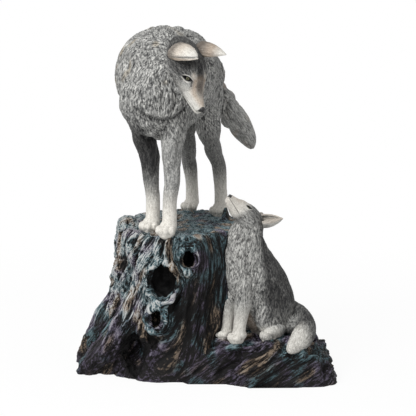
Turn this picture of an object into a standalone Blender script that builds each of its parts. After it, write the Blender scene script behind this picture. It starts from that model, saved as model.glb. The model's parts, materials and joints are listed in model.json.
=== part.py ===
"""A cast figurine: a grown wolf on a weathered tree stump looks down at its cub, which sits on a low
ledge of driftwood and looks up. The whole group is one solid casting with a flat underside.

+Z is up and the front, where the cub and the stump's knotholes show, faces -Y. The origin lies on the
underside, in the middle of the casting's width and depth. Limbs and bodies are lofts of oval sections
along a smooth line. They are laid out in the frames of the wolf, its head, the cub and its head, as
(forward, left, up)."""

import bmesh
import bpy
from math import cos, pi, radians, sin, sqrt
from mathutils import Matrix, Vector, noise

# Stump and ledge
STUMP_HEIGHT = 0.1180  # underside to the middle of the face that the wolf stands on
TOP_FALL = 0.0022  # how much lower the front paws stand than the hind ones
STUMP_WIDTH = 0.098  # across the top face, left to right
STUMP_DEPTH = 0.132  # across the top face, front to back
STUMP_MIDDLE = Vector((-0.022, 0.008, 0))
STUMP_FLARE = 0.010  # how far the foot stands out past the top at the sides
ROOT_REACH = 0.034  # how far the left roots run out past the top
LEDGE_HEIGHT = 0.0345  # underside to the face that the cub sits on
LEDGE_REACH = 0.098  # right end of the ledge
LEDGE_FRONT = 0.062  # front edge of the ledge
GROOVE_DEPTH = 0.0032  # between the ridges of the weathered wood
GROOVE_PITCH = 0.0100
CREASE = (0.0187, 0.672, 0.0042)  # between the two rocks: foot across, lean from upright, depth
KNOT_RIM = 0.0032  # how thick the lip round a knothole is
KNOT_DEPTH = 0.013
KNOTHOLES = ((-0.0143, 0.83, 0.014, 0.018), (-0.0346, 0.68, 0.023, 0.030), (-0.039, 0.43, 0.0135, 0.018))
CAVE = (-0.056, 0.019, 0.020, 0.036, 0.022)  # across, up, width, height, depth
SINK = 0.0004  # how far the paws are pressed into the wood

# Wolf
WOLF_HEADING = radians(20.8)  # from the front, towards -X
WOLF_MIDDLE = Vector((-0.020, 0.008, 0))
WOLF_HEIGHT = 0.1535  # paws to the top of the ruff
WHEELBASE = 0.098  # front paws to hind paws
FORE_SPREAD = 0.020
HIND_SPREAD = 0.031
STAGGER = 0.0145  # left paws ahead of the right ones
PAW_SIZE = 0.0084
RUFF_RADIUS = 0.0368
CHEST_WIDTH = 0.058
RUMP_WIDTH = 0.039
HEAD_LENGTH = 0.054
HEAD_HEADING = radians(-42)
HEAD_DROP = radians(55)
EAR_LENGTH = 0.0265
EAR_WALL = 0.0021
TAIL_RADIUS = 0.0100

# Cub
CUB_HEADING = radians(54)
CUB_MIDDLE = Vector((0.0345, -0.030, 0))
CUB_HEIGHT = 0.085  # seat to the top of the neck
CUB_PAW_SIZE = 0.0068
CUB_HEAD_LENGTH = 0.0360
CUB_HEAD_HEADING = radians(59)
CUB_HEAD_RISE = radians(52)
CUB_EAR_LENGTH = 0.0160

# Coats
LOCK_DEPTH = 0.0022  # between the crown of a broad lock and the groove beside it
LOCK_PITCH = 0.0115

# Mesh sizes
BODY_VOXEL = 0.0022
FINE_VOXEL = 0.00105
FACES = 13400  # triangles before the underside is cut flat
BELOW = 0.008  # how far the rough shapes reach below the underside before it is cut flat


class Place:
    """A frame of its own for one animal or head: an origin and its forward, left and up directions."""

    def __init__(self, origin, heading, drop=0.0):
        self.origin = Vector(origin)
        self.forward = Vector((-sin(heading) * cos(drop), -cos(heading) * cos(drop), -sin(drop)))
        self.left = Vector((cos(heading), -sin(heading), 0))
        self.up = self.forward.cross(self.left)

    def way(self, forward, left, up):
        return self.forward * forward + self.left * left + self.up * up

    def at(self, forward, left, up):
        return self.origin + self.way(forward, left, up)


def curve_through(rows, steps):
    """Rows of numbers joined by a Catmull-Rom curve, with this many steps between two rows."""
    found = []
    for i in range(len(rows) - 1):
        before, a, b, after = (rows[max(0, min(len(rows) - 1, i + k))] for k in (-1, 0, 1, 2))
        for step in range(steps):
            t = step / steps
            found.append(
                [
                    q + 0.5 * t * (r - p + t * (2 * p - 5 * q + 4 * r - s + t * (3 * (q - r) + s - p)))
                    for p, q, r, s in zip(before, a, b, after)
                ]
            )
    found.append(list(rows[-1]))
    return found


def add_rings(bm, rings, tips):
    """Bridges rings of points into a closed skin with a tip at each end."""
    made = [[bm.verts.new(p) for p in ring] for ring in rings]
    count = len(made[0])
    for a, b in zip(made, made[1:]):
        for i in range(count):
            j = (i + 1) % count
            bm.faces.new((a[i], a[j], b[j], b[i]))
    for ring, tip, turn in ((made[0], tips[0], 1), (made[-1], tips[1], -1)):
        point = bm.verts.new(tip)
        for i in range(count):
            pair = (ring[i], ring[(i + 1) % count])[::-turn]
            bm.faces.new((point, *pair))


def loft(bm, place, rows, unit=1.0, sides=20, steps=4, side=None):
    """A limb: oval sections (forward, left, up, half across, half through) along a smooth line."""
    line = [[n * unit for n in row] for row in curve_through(rows, steps)]
    centres = [place.at(*row[:3]) for row in line]
    side = side or place.left
    rings, tips = [], []
    last = len(line) - 1
    for i, (centre, row) in enumerate(zip(centres, line)):
        along = (centres[min(i + 1, last)] - centres[max(i - 1, 0)]).normalized()
        across = (side - along * side.dot(along)).normalized()
        through = along.cross(across)
        end = {0: -1, last: 1}.get(i, 0)
        shells = [(0.0, 1.0)]
        if end:
            dome = 0.75 * min(row[3], row[4])
            shells += [(end * dome * sin(radians(a)), cos(radians(a))) for a in (30, 60)]
            tips.append(centre + along * end * dome)
        made = [
            [
                centre
                + along * shift
                + across * (row[3] * size * cos(2 * pi * k / sides))
                + through * (row[4] * size * sin(2 * pi * k / sides))
                for k in range(sides)
            ]
            for shift, size in shells
        ]
        rings += made[::-1] if end < 0 else made
    add_rings(bm, rings, tips)


def ball(bm, place, centre, radii, turned=0.0):
    """An ellipsoid of these half sizes (forward, left, up), turned about the frame's up direction."""
    axes = Matrix((place.forward, place.left, place.up)).transposed().to_4x4()
    size = Matrix.Diagonal((*radii, 1.0))
    where = Matrix.Translation(place.at(*centre)) @ axes @ Matrix.Rotation(turned, 4, "Z") @ size
    bmesh.ops.create_uvsphere(bm, u_segments=16, v_segments=12, radius=1.0, matrix=where)


def ear(bm, head, base, axis, back, length, radius, wall):
    """A pricked ear: a cone's wall, open on the side away from back, that runs out to a point."""
    axis = axis.normalized()
    back = (back - axis * back.dot(axis)).normalized()
    across = axis.cross(back)
    steps, arcs, open_half = 9, 14, radians(62)
    start = head.at(*base)

    def wall_point(step, arc, inset):
        t = step / steps
        size = radius * max((1 - t**1.7) ** 0.8, 0.03) * (0.86 + 0.5 * t * (1 - t))
        angle = -(pi - open_half) + 2 * (pi - open_half) * arc / arcs
        reach = max(size - inset, 0.0002)
        lift = length * (t - 0.12 * (1 - t) * (1 - cos(angle)) / 2)
        return start + axis * lift + back * (reach * cos(angle) * 0.8) + across * (reach * sin(angle))

    skins = [
        [[bm.verts.new(wall_point(s, a, inset)) for a in range(arcs + 1)] for s in range(steps + 1)]
        for inset in (0.0, wall)
    ]
    outer, inner = skins
    for s in range(steps):
        for a in range(arcs):
            bm.faces.new((outer[s][a], outer[s][a + 1], outer[s + 1][a + 1], outer[s + 1][a]))
            bm.faces.new((inner[s][a], inner[s + 1][a], inner[s + 1][a + 1], inner[s][a + 1]))
        for a in (0, arcs):
            bm.faces.new((outer[s][a], outer[s + 1][a], inner[s + 1][a], inner[s][a])[:: 1 if a == 0 else -1])
    for a in range(arcs):
        bm.faces.new((outer[0][a], inner[0][a], inner[0][a + 1], outer[0][a + 1]))
        bm.faces.new((outer[steps][a], outer[steps][a + 1], inner[steps][a + 1], inner[steps][a]))


def paw(bm, place, where, size):
    """A paw with four toes in a fan, on a pad that runs on down into the wood."""
    forward, left, up = where
    ball(bm, place, (forward + 0.15 * size, left, up - 0.05 * size), (0.90 * size, 0.72 * size, 0.50 * size))
    ball(bm, place, (forward - 0.15 * size, left, up + 0.55 * size), (0.95 * size, 0.78 * size, 0.68 * size))
    for ahead, aside in ((0.50, -0.66), (0.82, -0.24), (0.82, 0.24), (0.50, 0.66)):
        centre = (forward + ahead * size, left + aside * size, up + 0.34 * size)
        ball(bm, place, centre, (0.46 * size, 0.28 * size, 0.42 * size))


def mesh_object(name, bm):
    bmesh.ops.recalc_face_normals(bm, faces=bm.faces)
    mesh = bpy.data.meshes.new(name)
    bm.to_mesh(mesh)
    bm.free()
    obj = bpy.data.objects.new(name, mesh)
    bpy.context.scene.collection.objects.link(obj)
    return obj


def settle(obj):
    """Makes the object's evaluated mesh its own and drops the modifiers."""
    graph = bpy.context.evaluated_depsgraph_get()
    mesh = bpy.data.meshes.new_from_object(obj.evaluated_get(graph))
    obj.modifiers.clear()
    obj.data = mesh
    return obj


def fuse(obj, voxel, rounds, factor=0.5):
    """One skin over all the closed shapes in the object, eased where they meet."""
    remesh = obj.modifiers.new("one_skin", "REMESH")
    remesh.mode = "VOXEL"
    remesh.voxel_size = voxel
    remesh.adaptivity = 0.0
    smooth = obj.modifiers.new("ease", "SMOOTH")
    smooth.factor = factor
    smooth.iterations = rounds
    return settle(obj)


def take_in(bm, obj):
    """Adds an object's mesh to the shapes in bm and removes the object."""
    bm.from_mesh(obj.data)
    bpy.data.objects.remove(obj)


def wolf_body(wolf):
    """Torso, ruff, legs and tail, without the head. The rows are for a wolf 150 mm high."""
    bm = bmesh.new()
    unit = WOLF_HEIGHT / 150
    half, ruff = 0.5 * WHEELBASE / unit, RUFF_RADIUS / unit
    chest, rump = 0.5 * CHEST_WIDTH / unit, 0.5 * RUMP_WIDTH / unit
    torso = [
        (half + 4, -3, 88, 0.62 * chest, 20),
        (half - 5, -4, 95, 0.92 * chest, 29),
        (half - 21, -4, 100, chest, 33.5),
        (half - 40, -4, 103, 0.97 * chest, 32),
        (-0.35 * half, -3, 105, 0.86 * chest, 29),
        (-0.78 * half, -3, 107, 1.12 * rump, 25),
        (-half - 3, -3, 107, rump, 23.5),
        (-half - 14, -3, 105, 0.80 * rump, 18),
    ]
    loft(bm, wolf, torso, unit)
    neck = [
        (half - 54, 0, 113, 0.74 * ruff, 27),
        (half - 38, -1, 115, 0.98 * ruff, 33.5),
        (half - 21, -3, 114, ruff, ruff),
        (half - 11, 0, 112, 0.84 * ruff, 0.86 * ruff),
        (half - 6, 9, 114, 0.56 * ruff, 0.56 * ruff),
    ]
    loft(bm, wolf, neck, unit)
    for sign in (-1, 1):
        ahead = sign * 0.5 * STAGGER / unit
        fore, hind = half + ahead, -half + ahead
        aside, apart = sign * 0.5 * FORE_SPREAD / unit, sign * 0.5 * HIND_SPREAD / unit
        dip = TOP_FALL / unit
        foreleg = [
            (half - 13, sign * 15 - 3, 96, 8, 17),
            (half - 9 + 0.3 * ahead, sign * 14 - 2, 76, 8.8, 13),
            (fore - 9, sign * 12.5 - 1, 58, 7.4, 9),
            (fore - 7, aside * 1.2, 40, 5.9, 6.6),
            (fore - 5.5, aside, 22, 5.3, 5.8),
            (fore - 4, aside, 5 - dip / 2, 5.6, 5.8),
        ]
        loft(bm, wolf, foreleg, unit, sides=16)
        hindleg = [
            (-half - 1, sign * 8 - 3, 103, 10, 20),
            (-half + 5 + 0.6 * ahead, sign * 10 - 3, 80, 9.5, 16),
            (hind + 4, 0.9 * apart - 2.5, 60, 7.0, 10),
            (hind - 6, apart - 2.5, 40, 5.6, 7.2),
            (hind - 6, apart - 1, 22, 5.0, 6.0),
            (hind - 4, apart, 5 + dip / 2, 5.5, 5.8),
        ]
        loft(bm, wolf, hindleg, unit, sides=16)
    tail = [
        (-half - 12, -2, 108, 7, 7),
        (-half - 20, 1, 99, 8.5, 8.5),
        (-half - 27, 8, 86, 1.05 * TAIL_RADIUS / unit, 1.05 * TAIL_RADIUS / unit),
        (-half - 32, 18, 71, TAIL_RADIUS / unit, TAIL_RADIUS / unit),
        (-half - 34, 26, 58, 0.75 * TAIL_RADIUS / unit, 0.75 * TAIL_RADIUS / unit),
        (-half - 35, 29, 50, 0.3 * TAIL_RADIUS / unit, 0.3 * TAIL_RADIUS / unit),
    ]
    loft(bm, wolf, tail, unit, sides=16)
    body = fuse(mesh_object("wolf_body", bm), BODY_VOXEL, 5)
    return stand_out(body, lambda point: locks(point, wolf.origin.z, WOLF_HEIGHT))


def wolf_paws(bm, wolf):
    for sign in (-1, 1):
        ahead = sign * 0.5 * STAGGER
        paw(bm, wolf, (0.5 * WHEELBASE + ahead, sign * 0.5 * FORE_SPREAD, -0.5 * TOP_FALL), PAW_SIZE)
        paw(bm, wolf, (-0.5 * WHEELBASE + ahead, sign * 0.5 * HIND_SPREAD, 0.5 * TOP_FALL), 0.92 * PAW_SIZE)


def head_shape(bm, head, length, fullness=1.0):
    """A wolf's head with its origin in the middle of the skull, in shares of its length."""
    unit = length / 52
    skull = [
        (-17, 0, 1.0, 9, 9),
        (-11, 0, 0.6, 13.0, 12.6),
        (-3, 0, 0.2, 15.4, 13.6),
        (4, 0, 0.0, 14.8, 12.8),
        (10, 0, -1.0, 12.4, 11.4),
        (15, 0, -2.8, 9.2, 9.6),
        (21, 0, -4.2, 7.2, 8.2),
        (27, 0, -5.0, 6.0, 7.0),
        (32, 0, -5.4, 4.8, 6.0),
    ]
    loft(bm, head, skull, unit, side=head.left)
    for sign in (-1, 1):
        cheek = (-2 * unit, sign * 10.5 * unit, -5 * unit)
        brow = (8.5 * unit, sign * 6.0 * unit, 6.0 * unit)
        ball(bm, head, cheek, [n * unit * fullness for n in (9, 7.5, 9)])
        ball(bm, head, brow, [n * unit for n in (5.0, 3.4, 3.2)])
    ball(bm, head, (34.5 * unit, 0, -2.6 * unit), [n * unit for n in (3.0, 3.6, 2.8)])


def wolf_head(bm, wolf):
    unit = HEAD_LENGTH / 52
    where = wolf.at(0.5 * WHEELBASE - 0.02 * WOLF_HEIGHT, 0.15 * WOLF_HEIGHT, 0.808 * WOLF_HEIGHT)
    head = Place(where, HEAD_HEADING, HEAD_DROP)
    head_shape(bm, head, HEAD_LENGTH)
    ears = (
        ((-9, -6, 7), (0.70, -0.14, 0.70), (-0.29, -0.25, 0.9), EAR_LENGTH, 10),
        ((-10, 13, 7.5), (0.64, 0.27, 0.65), (-0.6, -0.2, 0.7), 0.9 * EAR_LENGTH, 8.6),
    )
    for base, axis, back, length, radius in ears:
        start = [n * unit for n in base]
        ear(bm, head, start, head.way(*axis), head.way(*back), length, radius * unit, EAR_WALL)


def cub_body(cub):
    """The seated cub without its head. The rows are for a cub 85 mm high at the neck."""
    bm = bmesh.new()
    unit = CUB_HEIGHT / 85
    torso = [
        (-18, 0, 4, 14, 17),
        (-17, 0, 16, 18, 22),
        (-11, 0, 30, 18, 24),
        (-4, 0, 41, 17, 24),
        (2, -1, 52, 16, 22.5),
        (5, -2, 64, 14.5, 18),
        (6, -2, 75, 13.4, 14.5),
        (4, -1, 84, 12, 12),
    ]
    loft(bm, cub, torso, unit)
    for sign in (-1, 1):
        ball(bm, cub, [n * unit for n in (-9, sign * 12, 17)], [n * unit for n in (15, 8.5, 16)])
        foreleg = [
            (10, sign * 8, 46, 7.5, 9),
            (15, sign * 8, 30, 6.2, 6.8),
            (17.5, sign * 7.7, 16, 5.1, 5.3),
            (19, sign * 7.7, 4, 5.0, 5.0),
        ]
        loft(bm, cub, foreleg, unit, sides=16)
        ball(bm, cub, [n * unit for n in (-5, sign * 16.5, 5)], [n * unit for n in (11, 5.5, 6.5)])
        ball(bm, cub, [n * unit for n in (-27, sign * 13, 7)], [n * unit for n in (9, 7, 8)])
    tail = [
        (-31, 3, 17, 8, 8),
        (-36, 11, 13, 8.5, 8.5),
        (-33, 24, 6, 8.5, 8.5),
        (-22, 33, 0, 8.5, 8.5),
        (-11, 36, -5, 5, 5),
        (-7, 37, -7, 2, 2),
    ]
    loft(bm, cub, tail, unit, sides=14)
    body = fuse(mesh_object("cub_body", bm), BODY_VOXEL, 3)
    return stand_out(body, lambda point: 0.6 * locks(point, cub.origin.z, CUB_HEIGHT))


def cub_feet():
    """Where the cub's paws stand, forward and left of its middle."""
    unit = CUB_HEIGHT / 85
    return [(ahead * unit, sign * aside * unit) for sign in (-1, 1) for ahead, aside in ((20, 7.7), (3, 18))]


def cub_paws(bm, cub):
    for ahead, aside in cub_feet():
        paw(bm, cub, (ahead, aside, 0), CUB_PAW_SIZE)


def cub_head(bm, cub):
    unit = CUB_HEAD_LENGTH / 34
    where = cub.at(0.07 * CUB_HEIGHT, 0.012 * CUB_HEIGHT, 1.088 * CUB_HEIGHT)
    head = Place(where, CUB_HEAD_HEADING, -CUB_HEAD_RISE)
    head_shape(bm, head, CUB_HEAD_LENGTH, 1.05)
    for sign in (-1, 1):
        base = [n * unit for n in (-7, sign * 7, 5.5)]
        reach = head.way(-0.45, sign * 0.45, 0.75)
        back = head.way(-0.8, -sign * 0.3, -0.5)
        ear(bm, head, base, reach, back, CUB_EAR_LENGTH, 7.3 * unit, 0.85 * EAR_WALL)


def rise(edge0, edge1, value):
    """0 before the first edge, 1 after the second and smooth between them."""
    t = max(0.0, min(1.0, (value - edge0) / (edge1 - edge0)))
    return t * t * (3 - 2 * t)


def locks(point, foot, height):
    """How far a point of the coat stands out, for the broad locks that hang down the animal."""
    x, y, z = point / LOCK_PITCH
    sway = 0.6 * noise.noise(Vector((x, y, z)) * 0.4)
    crown = abs(noise.noise(Vector((x + sway, y + sway, 0.42 * z))))
    return LOCK_DEPTH * rise(0.10, 0.40, (point.z - foot) / height) * (2.2 * min(crown, 0.42) - 0.38)


def streaks(across, depth, along, pitch):
    """1 on the crest of a ridge and down to -1.6 in a groove; the ridges run along the third number."""
    sway = 0.5 * noise.noise(Vector((across, depth, 0.8 * along)) * (0.28 / GROOVE_PITCH))
    place = Vector((across / pitch + sway, depth / pitch + sway, along / (6 * pitch)))
    return 1.0 - 2.6 * abs(noise.noise(place))


def crease(x, z):
    """The seam up the ledge's front where the left rock runs in behind the right one."""
    foot, lean, depth = CREASE
    ahead = (foot - x) * cos(lean) + z * sin(lean)
    behind = rise(-0.3 * depth, 1.2 * depth, ahead) * rise(9 * depth, 2 * depth, ahead)
    return depth * behind * rise(1.25 * LEDGE_HEIGHT, LEDGE_HEIGHT, z)


def carved(point):
    """How far a point of the wood stands out, for its ridges along the grain and its broad lumps."""
    x, y, z = point
    across, up = (x - STUMP_MIDDLE.x) / STUMP_WIDTH, z / STUMP_HEIGHT
    fan = 0.55 * rise(-0.08, -0.59, across) * (z - 0.5 * STUMP_HEIGHT)
    trunk = streaks(x + fan, y, z, GROOVE_PITCH)
    rock = streaks(0.82 * z - 0.57 * x, 0.6 * y, 0.82 * x + 0.57 * z, 0.8 * GROOVE_PITCH)
    share = rise(0.17, 0.33, across) * rise(1.25 * LEDGE_HEIGHT, LEDGE_HEIGHT, z)
    ridge = trunk + (rock - trunk) * share
    calm = 1.0 - 0.6 * max(rise(0.94, 0.98, up), share * rise(0.80, 0.95, z / LEDGE_HEIGHT))
    lumps = 0.7 * noise.noise(point * (0.55 / GROOVE_PITCH))
    seam = crease(x, z) * share * rise(-0.45 * LEDGE_FRONT, -0.7 * LEDGE_FRONT, y)
    return GROOVE_DEPTH * (calm * (ridge + lumps) - 0.35) - seam


def ledge(bm):
    """The low shelf of two rocks of driftwood: an outline that rises to the cub's seat."""
    wide, deep = LEDGE_REACH / 98, LEDGE_FRONT / 62
    outline = [
        (-29, -34, 0.14),
        (-25, -47, 0.30),
        (-12, -49, 0.60),
        (0, -51, 0.84),
        (17, -54, 0.95),
        (24, -59, 0.97),
        (40, -62, 0.94),
        (64, -61.5, 0.76),
        (84, -59, 0.72),
        (97, -50, 0.50),
        (98, -30, 0.60),
        (93, -6, 0.90),
        (82, 16, 0.95),
        (56, 29, 1.0),
        (20, 32, 1.0),
        (-10, 10, 1.0),
        (-20, -16, 0.60),
    ]
    feet = [Vector((x * wide, y * deep, 0)) for x, y, _ in outline]
    middle = Vector((36 * wide, -16 * deep, 0))
    rings = []
    for height, inward in ((None, 0.0), (0.0, 0.0), (0.5, 0.02), (0.85, 0.06), (1.0, 0.14), (1.0, 0.45)):
        ring = []
        for foot, (_, _, share) in zip(feet, outline):
            edge = 1.0 if inward > 0.4 else share
            level = -BELOW if height is None else height * edge * LEDGE_HEIGHT
            ring.append(foot.lerp(middle, inward) + Vector((0, 0, level)))
        rings.append(ring)
    tips = [middle + Vector((0, 0, -BELOW)), middle + Vector((0, 0, LEDGE_HEIGHT))]
    add_rings(bm, rings, tips)


def wood(ground, cub):
    """The stump with its roots, then the ledge with a low mound under each of the cub's paws."""
    bm = bmesh.new()
    side = Vector((1, 0, 0))
    mx, my = STUMP_MIDDLE.x, STUMP_MIDDLE.y
    w, d, top = STUMP_WIDTH / 2, STUMP_DEPTH / 2, STUMP_HEIGHT
    out, unit = STUMP_FLARE, STUMP_WIDTH / 98
    trunk = [
        (-my - 6 * unit, mx - 4 * unit, -BELOW, w + out, d - 6 * unit),
        (-my - 5 * unit, mx - 3 * unit, 0.14 * top, w + out, d - 5 * unit),
        (-my - 3 * unit, mx - 2 * unit, 0.40 * top, w + 0.7 * out, d - 4 * unit),
        (-my - unit, mx, 0.70 * top, w + 0.35 * out, d - unit),
        (-my, mx, 0.90 * top, w, d),
        (-my, mx, top - unit, w - 3 * unit, d - 3 * unit),
    ]
    rings = []
    for row in curve_through(trunk, 4):
        forward, left, up, across, through = row
        tilt = TOP_FALL * max(0.0, up / top) / WHEELBASE
        ring = []
        for k in range(44):
            x = left + across * cos(2 * pi * k / 44)
            y = -forward + through * sin(2 * pi * k / 44)
            ring.append(Vector((x, y, up + tilt * (y - my))))
        rings.append(ring)
    add_rings(bm, rings, [Vector((mx, my, -BELOW)), Vector((mx, my, top - 1.5 * unit))])
    left = (w - mx + ROOT_REACH) / unit
    back = (my + d) / unit
    roots = [
        [
            (24, -45, 62, 14, 14),
            (27, -60, 42, 13, 13),
            (24, 27 - left, 24, 8, 10),
            (19, 13 - left, 8, 8, 8),
            (15, 9 - left, -8, 7, 7),
        ],
        [
            (-4, -52, 68, 16, 18),
            (-8, 34 - left, 44, 15, 19),
            (-12, 20 - left, 24, 13, 19),
            (-18, 12 - left, 6, 11, 16),
            (-20, 10 - left, -8, 10, 15),
        ],
        [
            (33, -46, 68, 12, 12),
            (29, -58, 46, 13, 13),
            (18, 34 - left, 24, 13, 13),
            (10, 27 - left, 6, 12, 12),
            (9, 26 - left, -8, 11, 12),
        ],
        [(34, -41, 72, 11, 11), (35, -41, 40, 11, 9), (34, -40, 16, 10, 8), (33, -39, -8, 10, 7)],
        [(14 - back, -42, 60, 12, 12), (5 - back, -52, 26, 11, 11), (1 - back, -57, -8, 10, 10)],
        [(14 - back, 2, 60, 12, 12), (5 - back, 9, 26, 11, 11), (1 - back, 12, -8, 10, 10)],
    ]
    for root in roots:
        loft(bm, ground, root, unit, sides=16)
    ledge(bm)
    for ahead, aside in cub_feet():
        size = CUB_PAW_SIZE
        ball(bm, cub, (ahead - 0.2 * size, aside, -0.9 * size), (1.9 * size, 1.7 * size, 1.14 * size))
    knob = (12 * unit - my, mx - w + 8 * unit, top - 3 * unit)
    ball(bm, ground, knob, (17 * unit, 8.5 * unit, 9 * unit))
    rim_top = top / unit
    spike = [
        (-20, 13, rim_top - 6, 4.2, 6),
        (-20, 13.6, rim_top + 3, 3.2, 4),
        (-20, 14.2, rim_top + 10, 1.8, 2),
    ]
    loft(bm, ground, spike, unit, sides=12)
    for x, height, width, tall in KNOTHOLES:
        rim(bm, ground, x, height * top, width, tall)
    return fuse(mesh_object("wood", bm), BODY_VOXEL * 0.8, 2)


def stand_out(body, height_of):
    """Moves every point of a skin outwards by what height_of says for it."""
    normals = [vert.normal.copy() for vert in body.data.vertices]
    for vert, normal in zip(body.data.vertices, normals):
        vert.co += normal * height_of(vert.co)
    return body


def front_of(x, height):
    """Where the stump's front face lies at this place across and this share of its height."""
    across = (x - STUMP_MIDDLE.x) / (STUMP_WIDTH / 2 + STUMP_FLARE * (1 - height))
    reach = STUMP_DEPTH * (0.5 - 0.038 * (1 - height))
    return STUMP_MIDDLE.y - reach * sqrt(max(0.05, 1 - across * across))


def rim(bm, ground, x, up, width, tall):
    """The lip of bark round a knothole."""
    y = front_of(x, up / STUMP_HEIGHT)
    turns = 20
    ring = []
    for k in range(turns + 1):
        a = 2 * pi * k / turns
        px = x + 0.5 * width * sin(a)
        py = front_of(px, up / STUMP_HEIGHT) - 0.3 * KNOT_RIM
        ring.append((-py, px, up + 0.5 * tall * cos(a), KNOT_RIM, KNOT_RIM))
    loft(bm, ground, ring, sides=10, steps=1, side=Vector((0, y, 0)).normalized())


def hollow_out(body, ground):
    """Sinks the knotholes and the hollow under the left roots into the wood."""
    holes = [(x, height * STUMP_HEIGHT, width, tall, KNOT_DEPTH) for x, height, width, tall in KNOTHOLES]
    holes.append(CAVE)
    for i, (x, up, width, tall, depth) in enumerate(holes):
        bm = bmesh.new()
        centre = (-front_of(x, up / STUMP_HEIGHT), x, up)
        ball(bm, ground, centre, (depth, 0.5 * width, 0.5 * tall))
        cutter = mesh_object(f"hole_{i}", bm)
        cutter.hide_render = True
        cutter.display_type = "WIRE"
        cut = body.modifiers.new(f"hole_{i}", "BOOLEAN")
        cut.operation = "DIFFERENCE"
        cut.solver = "EXACT"
        cut.object = cutter
    settle(body)
    for obj in [o for o in bpy.data.objects if o.name.startswith("hole_")]:
        bpy.data.objects.remove(obj)
    return body


def drop_crumbs(bm):
    """Keeps only the largest of the skins in bm."""
    left = set(bm.verts)
    skins = []
    while left:
        skin, edge = set(), [next(iter(left))]
        while edge:
            vert = edge.pop()
            if vert in left:
                left.remove(vert)
                skin.add(vert)
                edge += [link.other_vert(vert) for link in vert.link_edges]
        skins.append(skin)
    skins.sort(key=len)
    for skin in skins[:-1]:
        bmesh.ops.delete(bm, geom=list(skin), context="VERTS")


def cut_flat(bm):
    """Cuts the casting off at the ground and closes its underside with one flat face."""
    every = bm.verts[:] + bm.edges[:] + bm.faces[:]
    down = (0, 0, -1)
    bmesh.ops.bisect_plane(bm, geom=every, dist=1e-7, plane_co=(0, 0, 0), plane_no=down, clear_outer=True)
    rim_edges = [edge for edge in bm.edges if edge.is_boundary]
    bmesh.ops.triangle_fill(bm, use_beauty=True, use_dissolve=False, edges=rim_edges, normal=down)
    bmesh.ops.triangulate(bm, faces=[face for face in bm.faces if len(face.verts) > 3])
    bmesh.ops.recalc_face_normals(bm, faces=bm.faces)


def centre_over_origin(mesh):
    """Moves the casting so that the middle of its box stands over the origin."""
    xs = [vert.co.x for vert in mesh.vertices]
    ys = [vert.co.y for vert in mesh.vertices]
    shift = Vector((0.5 * (min(xs) + max(xs)), 0.5 * (min(ys) + max(ys)), 0))
    for vert in mesh.vertices:
        vert.co -= shift


def painted_resin():
    material = bpy.data.materials.new("painted_resin")
    material.use_nodes = True
    shader = material.node_tree.nodes["Principled BSDF"]
    shader.inputs["Base Color"].default_value = (0.16, 0.16, 0.17, 1)
    shader.inputs["Roughness"].default_value = 0.55
    return material


def build():
    for obj in list(bpy.data.objects):
        bpy.data.objects.remove(obj, do_unlink=True)
    ground = Place((0, 0, 0), 0)
    wolf = Place(WOLF_MIDDLE + Vector((0, 0, STUMP_HEIGHT - SINK)), WOLF_HEADING)
    cub = Place(CUB_MIDDLE + Vector((0, 0, LEDGE_HEIGHT - SINK)), CUB_HEADING)
    bm = bmesh.new()
    wolf_paws(bm, wolf)
    cub_paws(bm, cub)
    wolf_head(bm, wolf)
    cub_head(bm, cub)
    take_in(bm, wolf_body(wolf))
    take_in(bm, cub_body(cub))
    take_in(bm, stand_out(hollow_out(wood(ground, cub), ground), carved))
    figurine = fuse(mesh_object("wolf_figurine", bm), FINE_VOXEL, 2)
    thin = figurine.modifiers.new("thin", "DECIMATE")
    thin.ratio = FACES / (2 * len(figurine.data.polygons))
    settle(figurine)
    bm = bmesh.new()
    bm.from_mesh(figurine.data)
    drop_crumbs(bm)
    cut_flat(bm)
    bm.to_mesh(figurine.data)
    bm.free()
    centre_over_origin(figurine.data)
    figurine.data.materials.clear()
    figurine.data.materials.append(painted_resin())
    for face in figurine.data.polygons:
        face.use_smooth = True


build()
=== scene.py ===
# Looks of the wolf and cub figurine: modelled fur and wood grain, and the painter's dry-brushed colours, with
# painted light and shade laid into them.

import math
import time

import bpy
import numpy as np
from mathutils import Matrix, Vector, kdtree, noise
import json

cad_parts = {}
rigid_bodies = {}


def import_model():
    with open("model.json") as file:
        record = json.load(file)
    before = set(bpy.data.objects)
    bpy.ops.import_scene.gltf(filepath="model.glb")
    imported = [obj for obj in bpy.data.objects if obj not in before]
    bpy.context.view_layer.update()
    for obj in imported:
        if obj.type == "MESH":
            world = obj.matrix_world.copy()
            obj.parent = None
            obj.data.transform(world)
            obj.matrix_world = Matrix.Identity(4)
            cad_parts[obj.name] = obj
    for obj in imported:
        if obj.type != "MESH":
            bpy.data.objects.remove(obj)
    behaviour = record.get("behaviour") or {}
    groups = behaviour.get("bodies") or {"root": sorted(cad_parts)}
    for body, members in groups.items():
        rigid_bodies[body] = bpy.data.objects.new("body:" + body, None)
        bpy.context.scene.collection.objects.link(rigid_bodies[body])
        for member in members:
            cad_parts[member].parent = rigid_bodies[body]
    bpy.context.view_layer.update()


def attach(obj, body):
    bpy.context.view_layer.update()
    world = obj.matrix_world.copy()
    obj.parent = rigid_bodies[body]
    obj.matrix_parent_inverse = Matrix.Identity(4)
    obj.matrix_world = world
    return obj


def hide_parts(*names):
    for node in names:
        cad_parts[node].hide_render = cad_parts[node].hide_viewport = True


begun = time.time()
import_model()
node = "wolf_figurine"
mm = 0.001
shift = Vector((3.28, -9.69, 0.0))  # from the group's setting-out point to the middle of its box, in mm
rng = np.random.default_rng(7)

for o in bpy.data.objects:
    o.select_set(False)


# Small helpers


def clean(name):
    bpy.ops.object.select_all(action="DESELECT")
    print("stage:", name, round(time.time() - begun))


def smoothStep(low, high, value):
    t = np.clip((value - low) / (high - low), 0.0, 1.0)
    return t * t * (3.0 - 2.0 * t)


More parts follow.
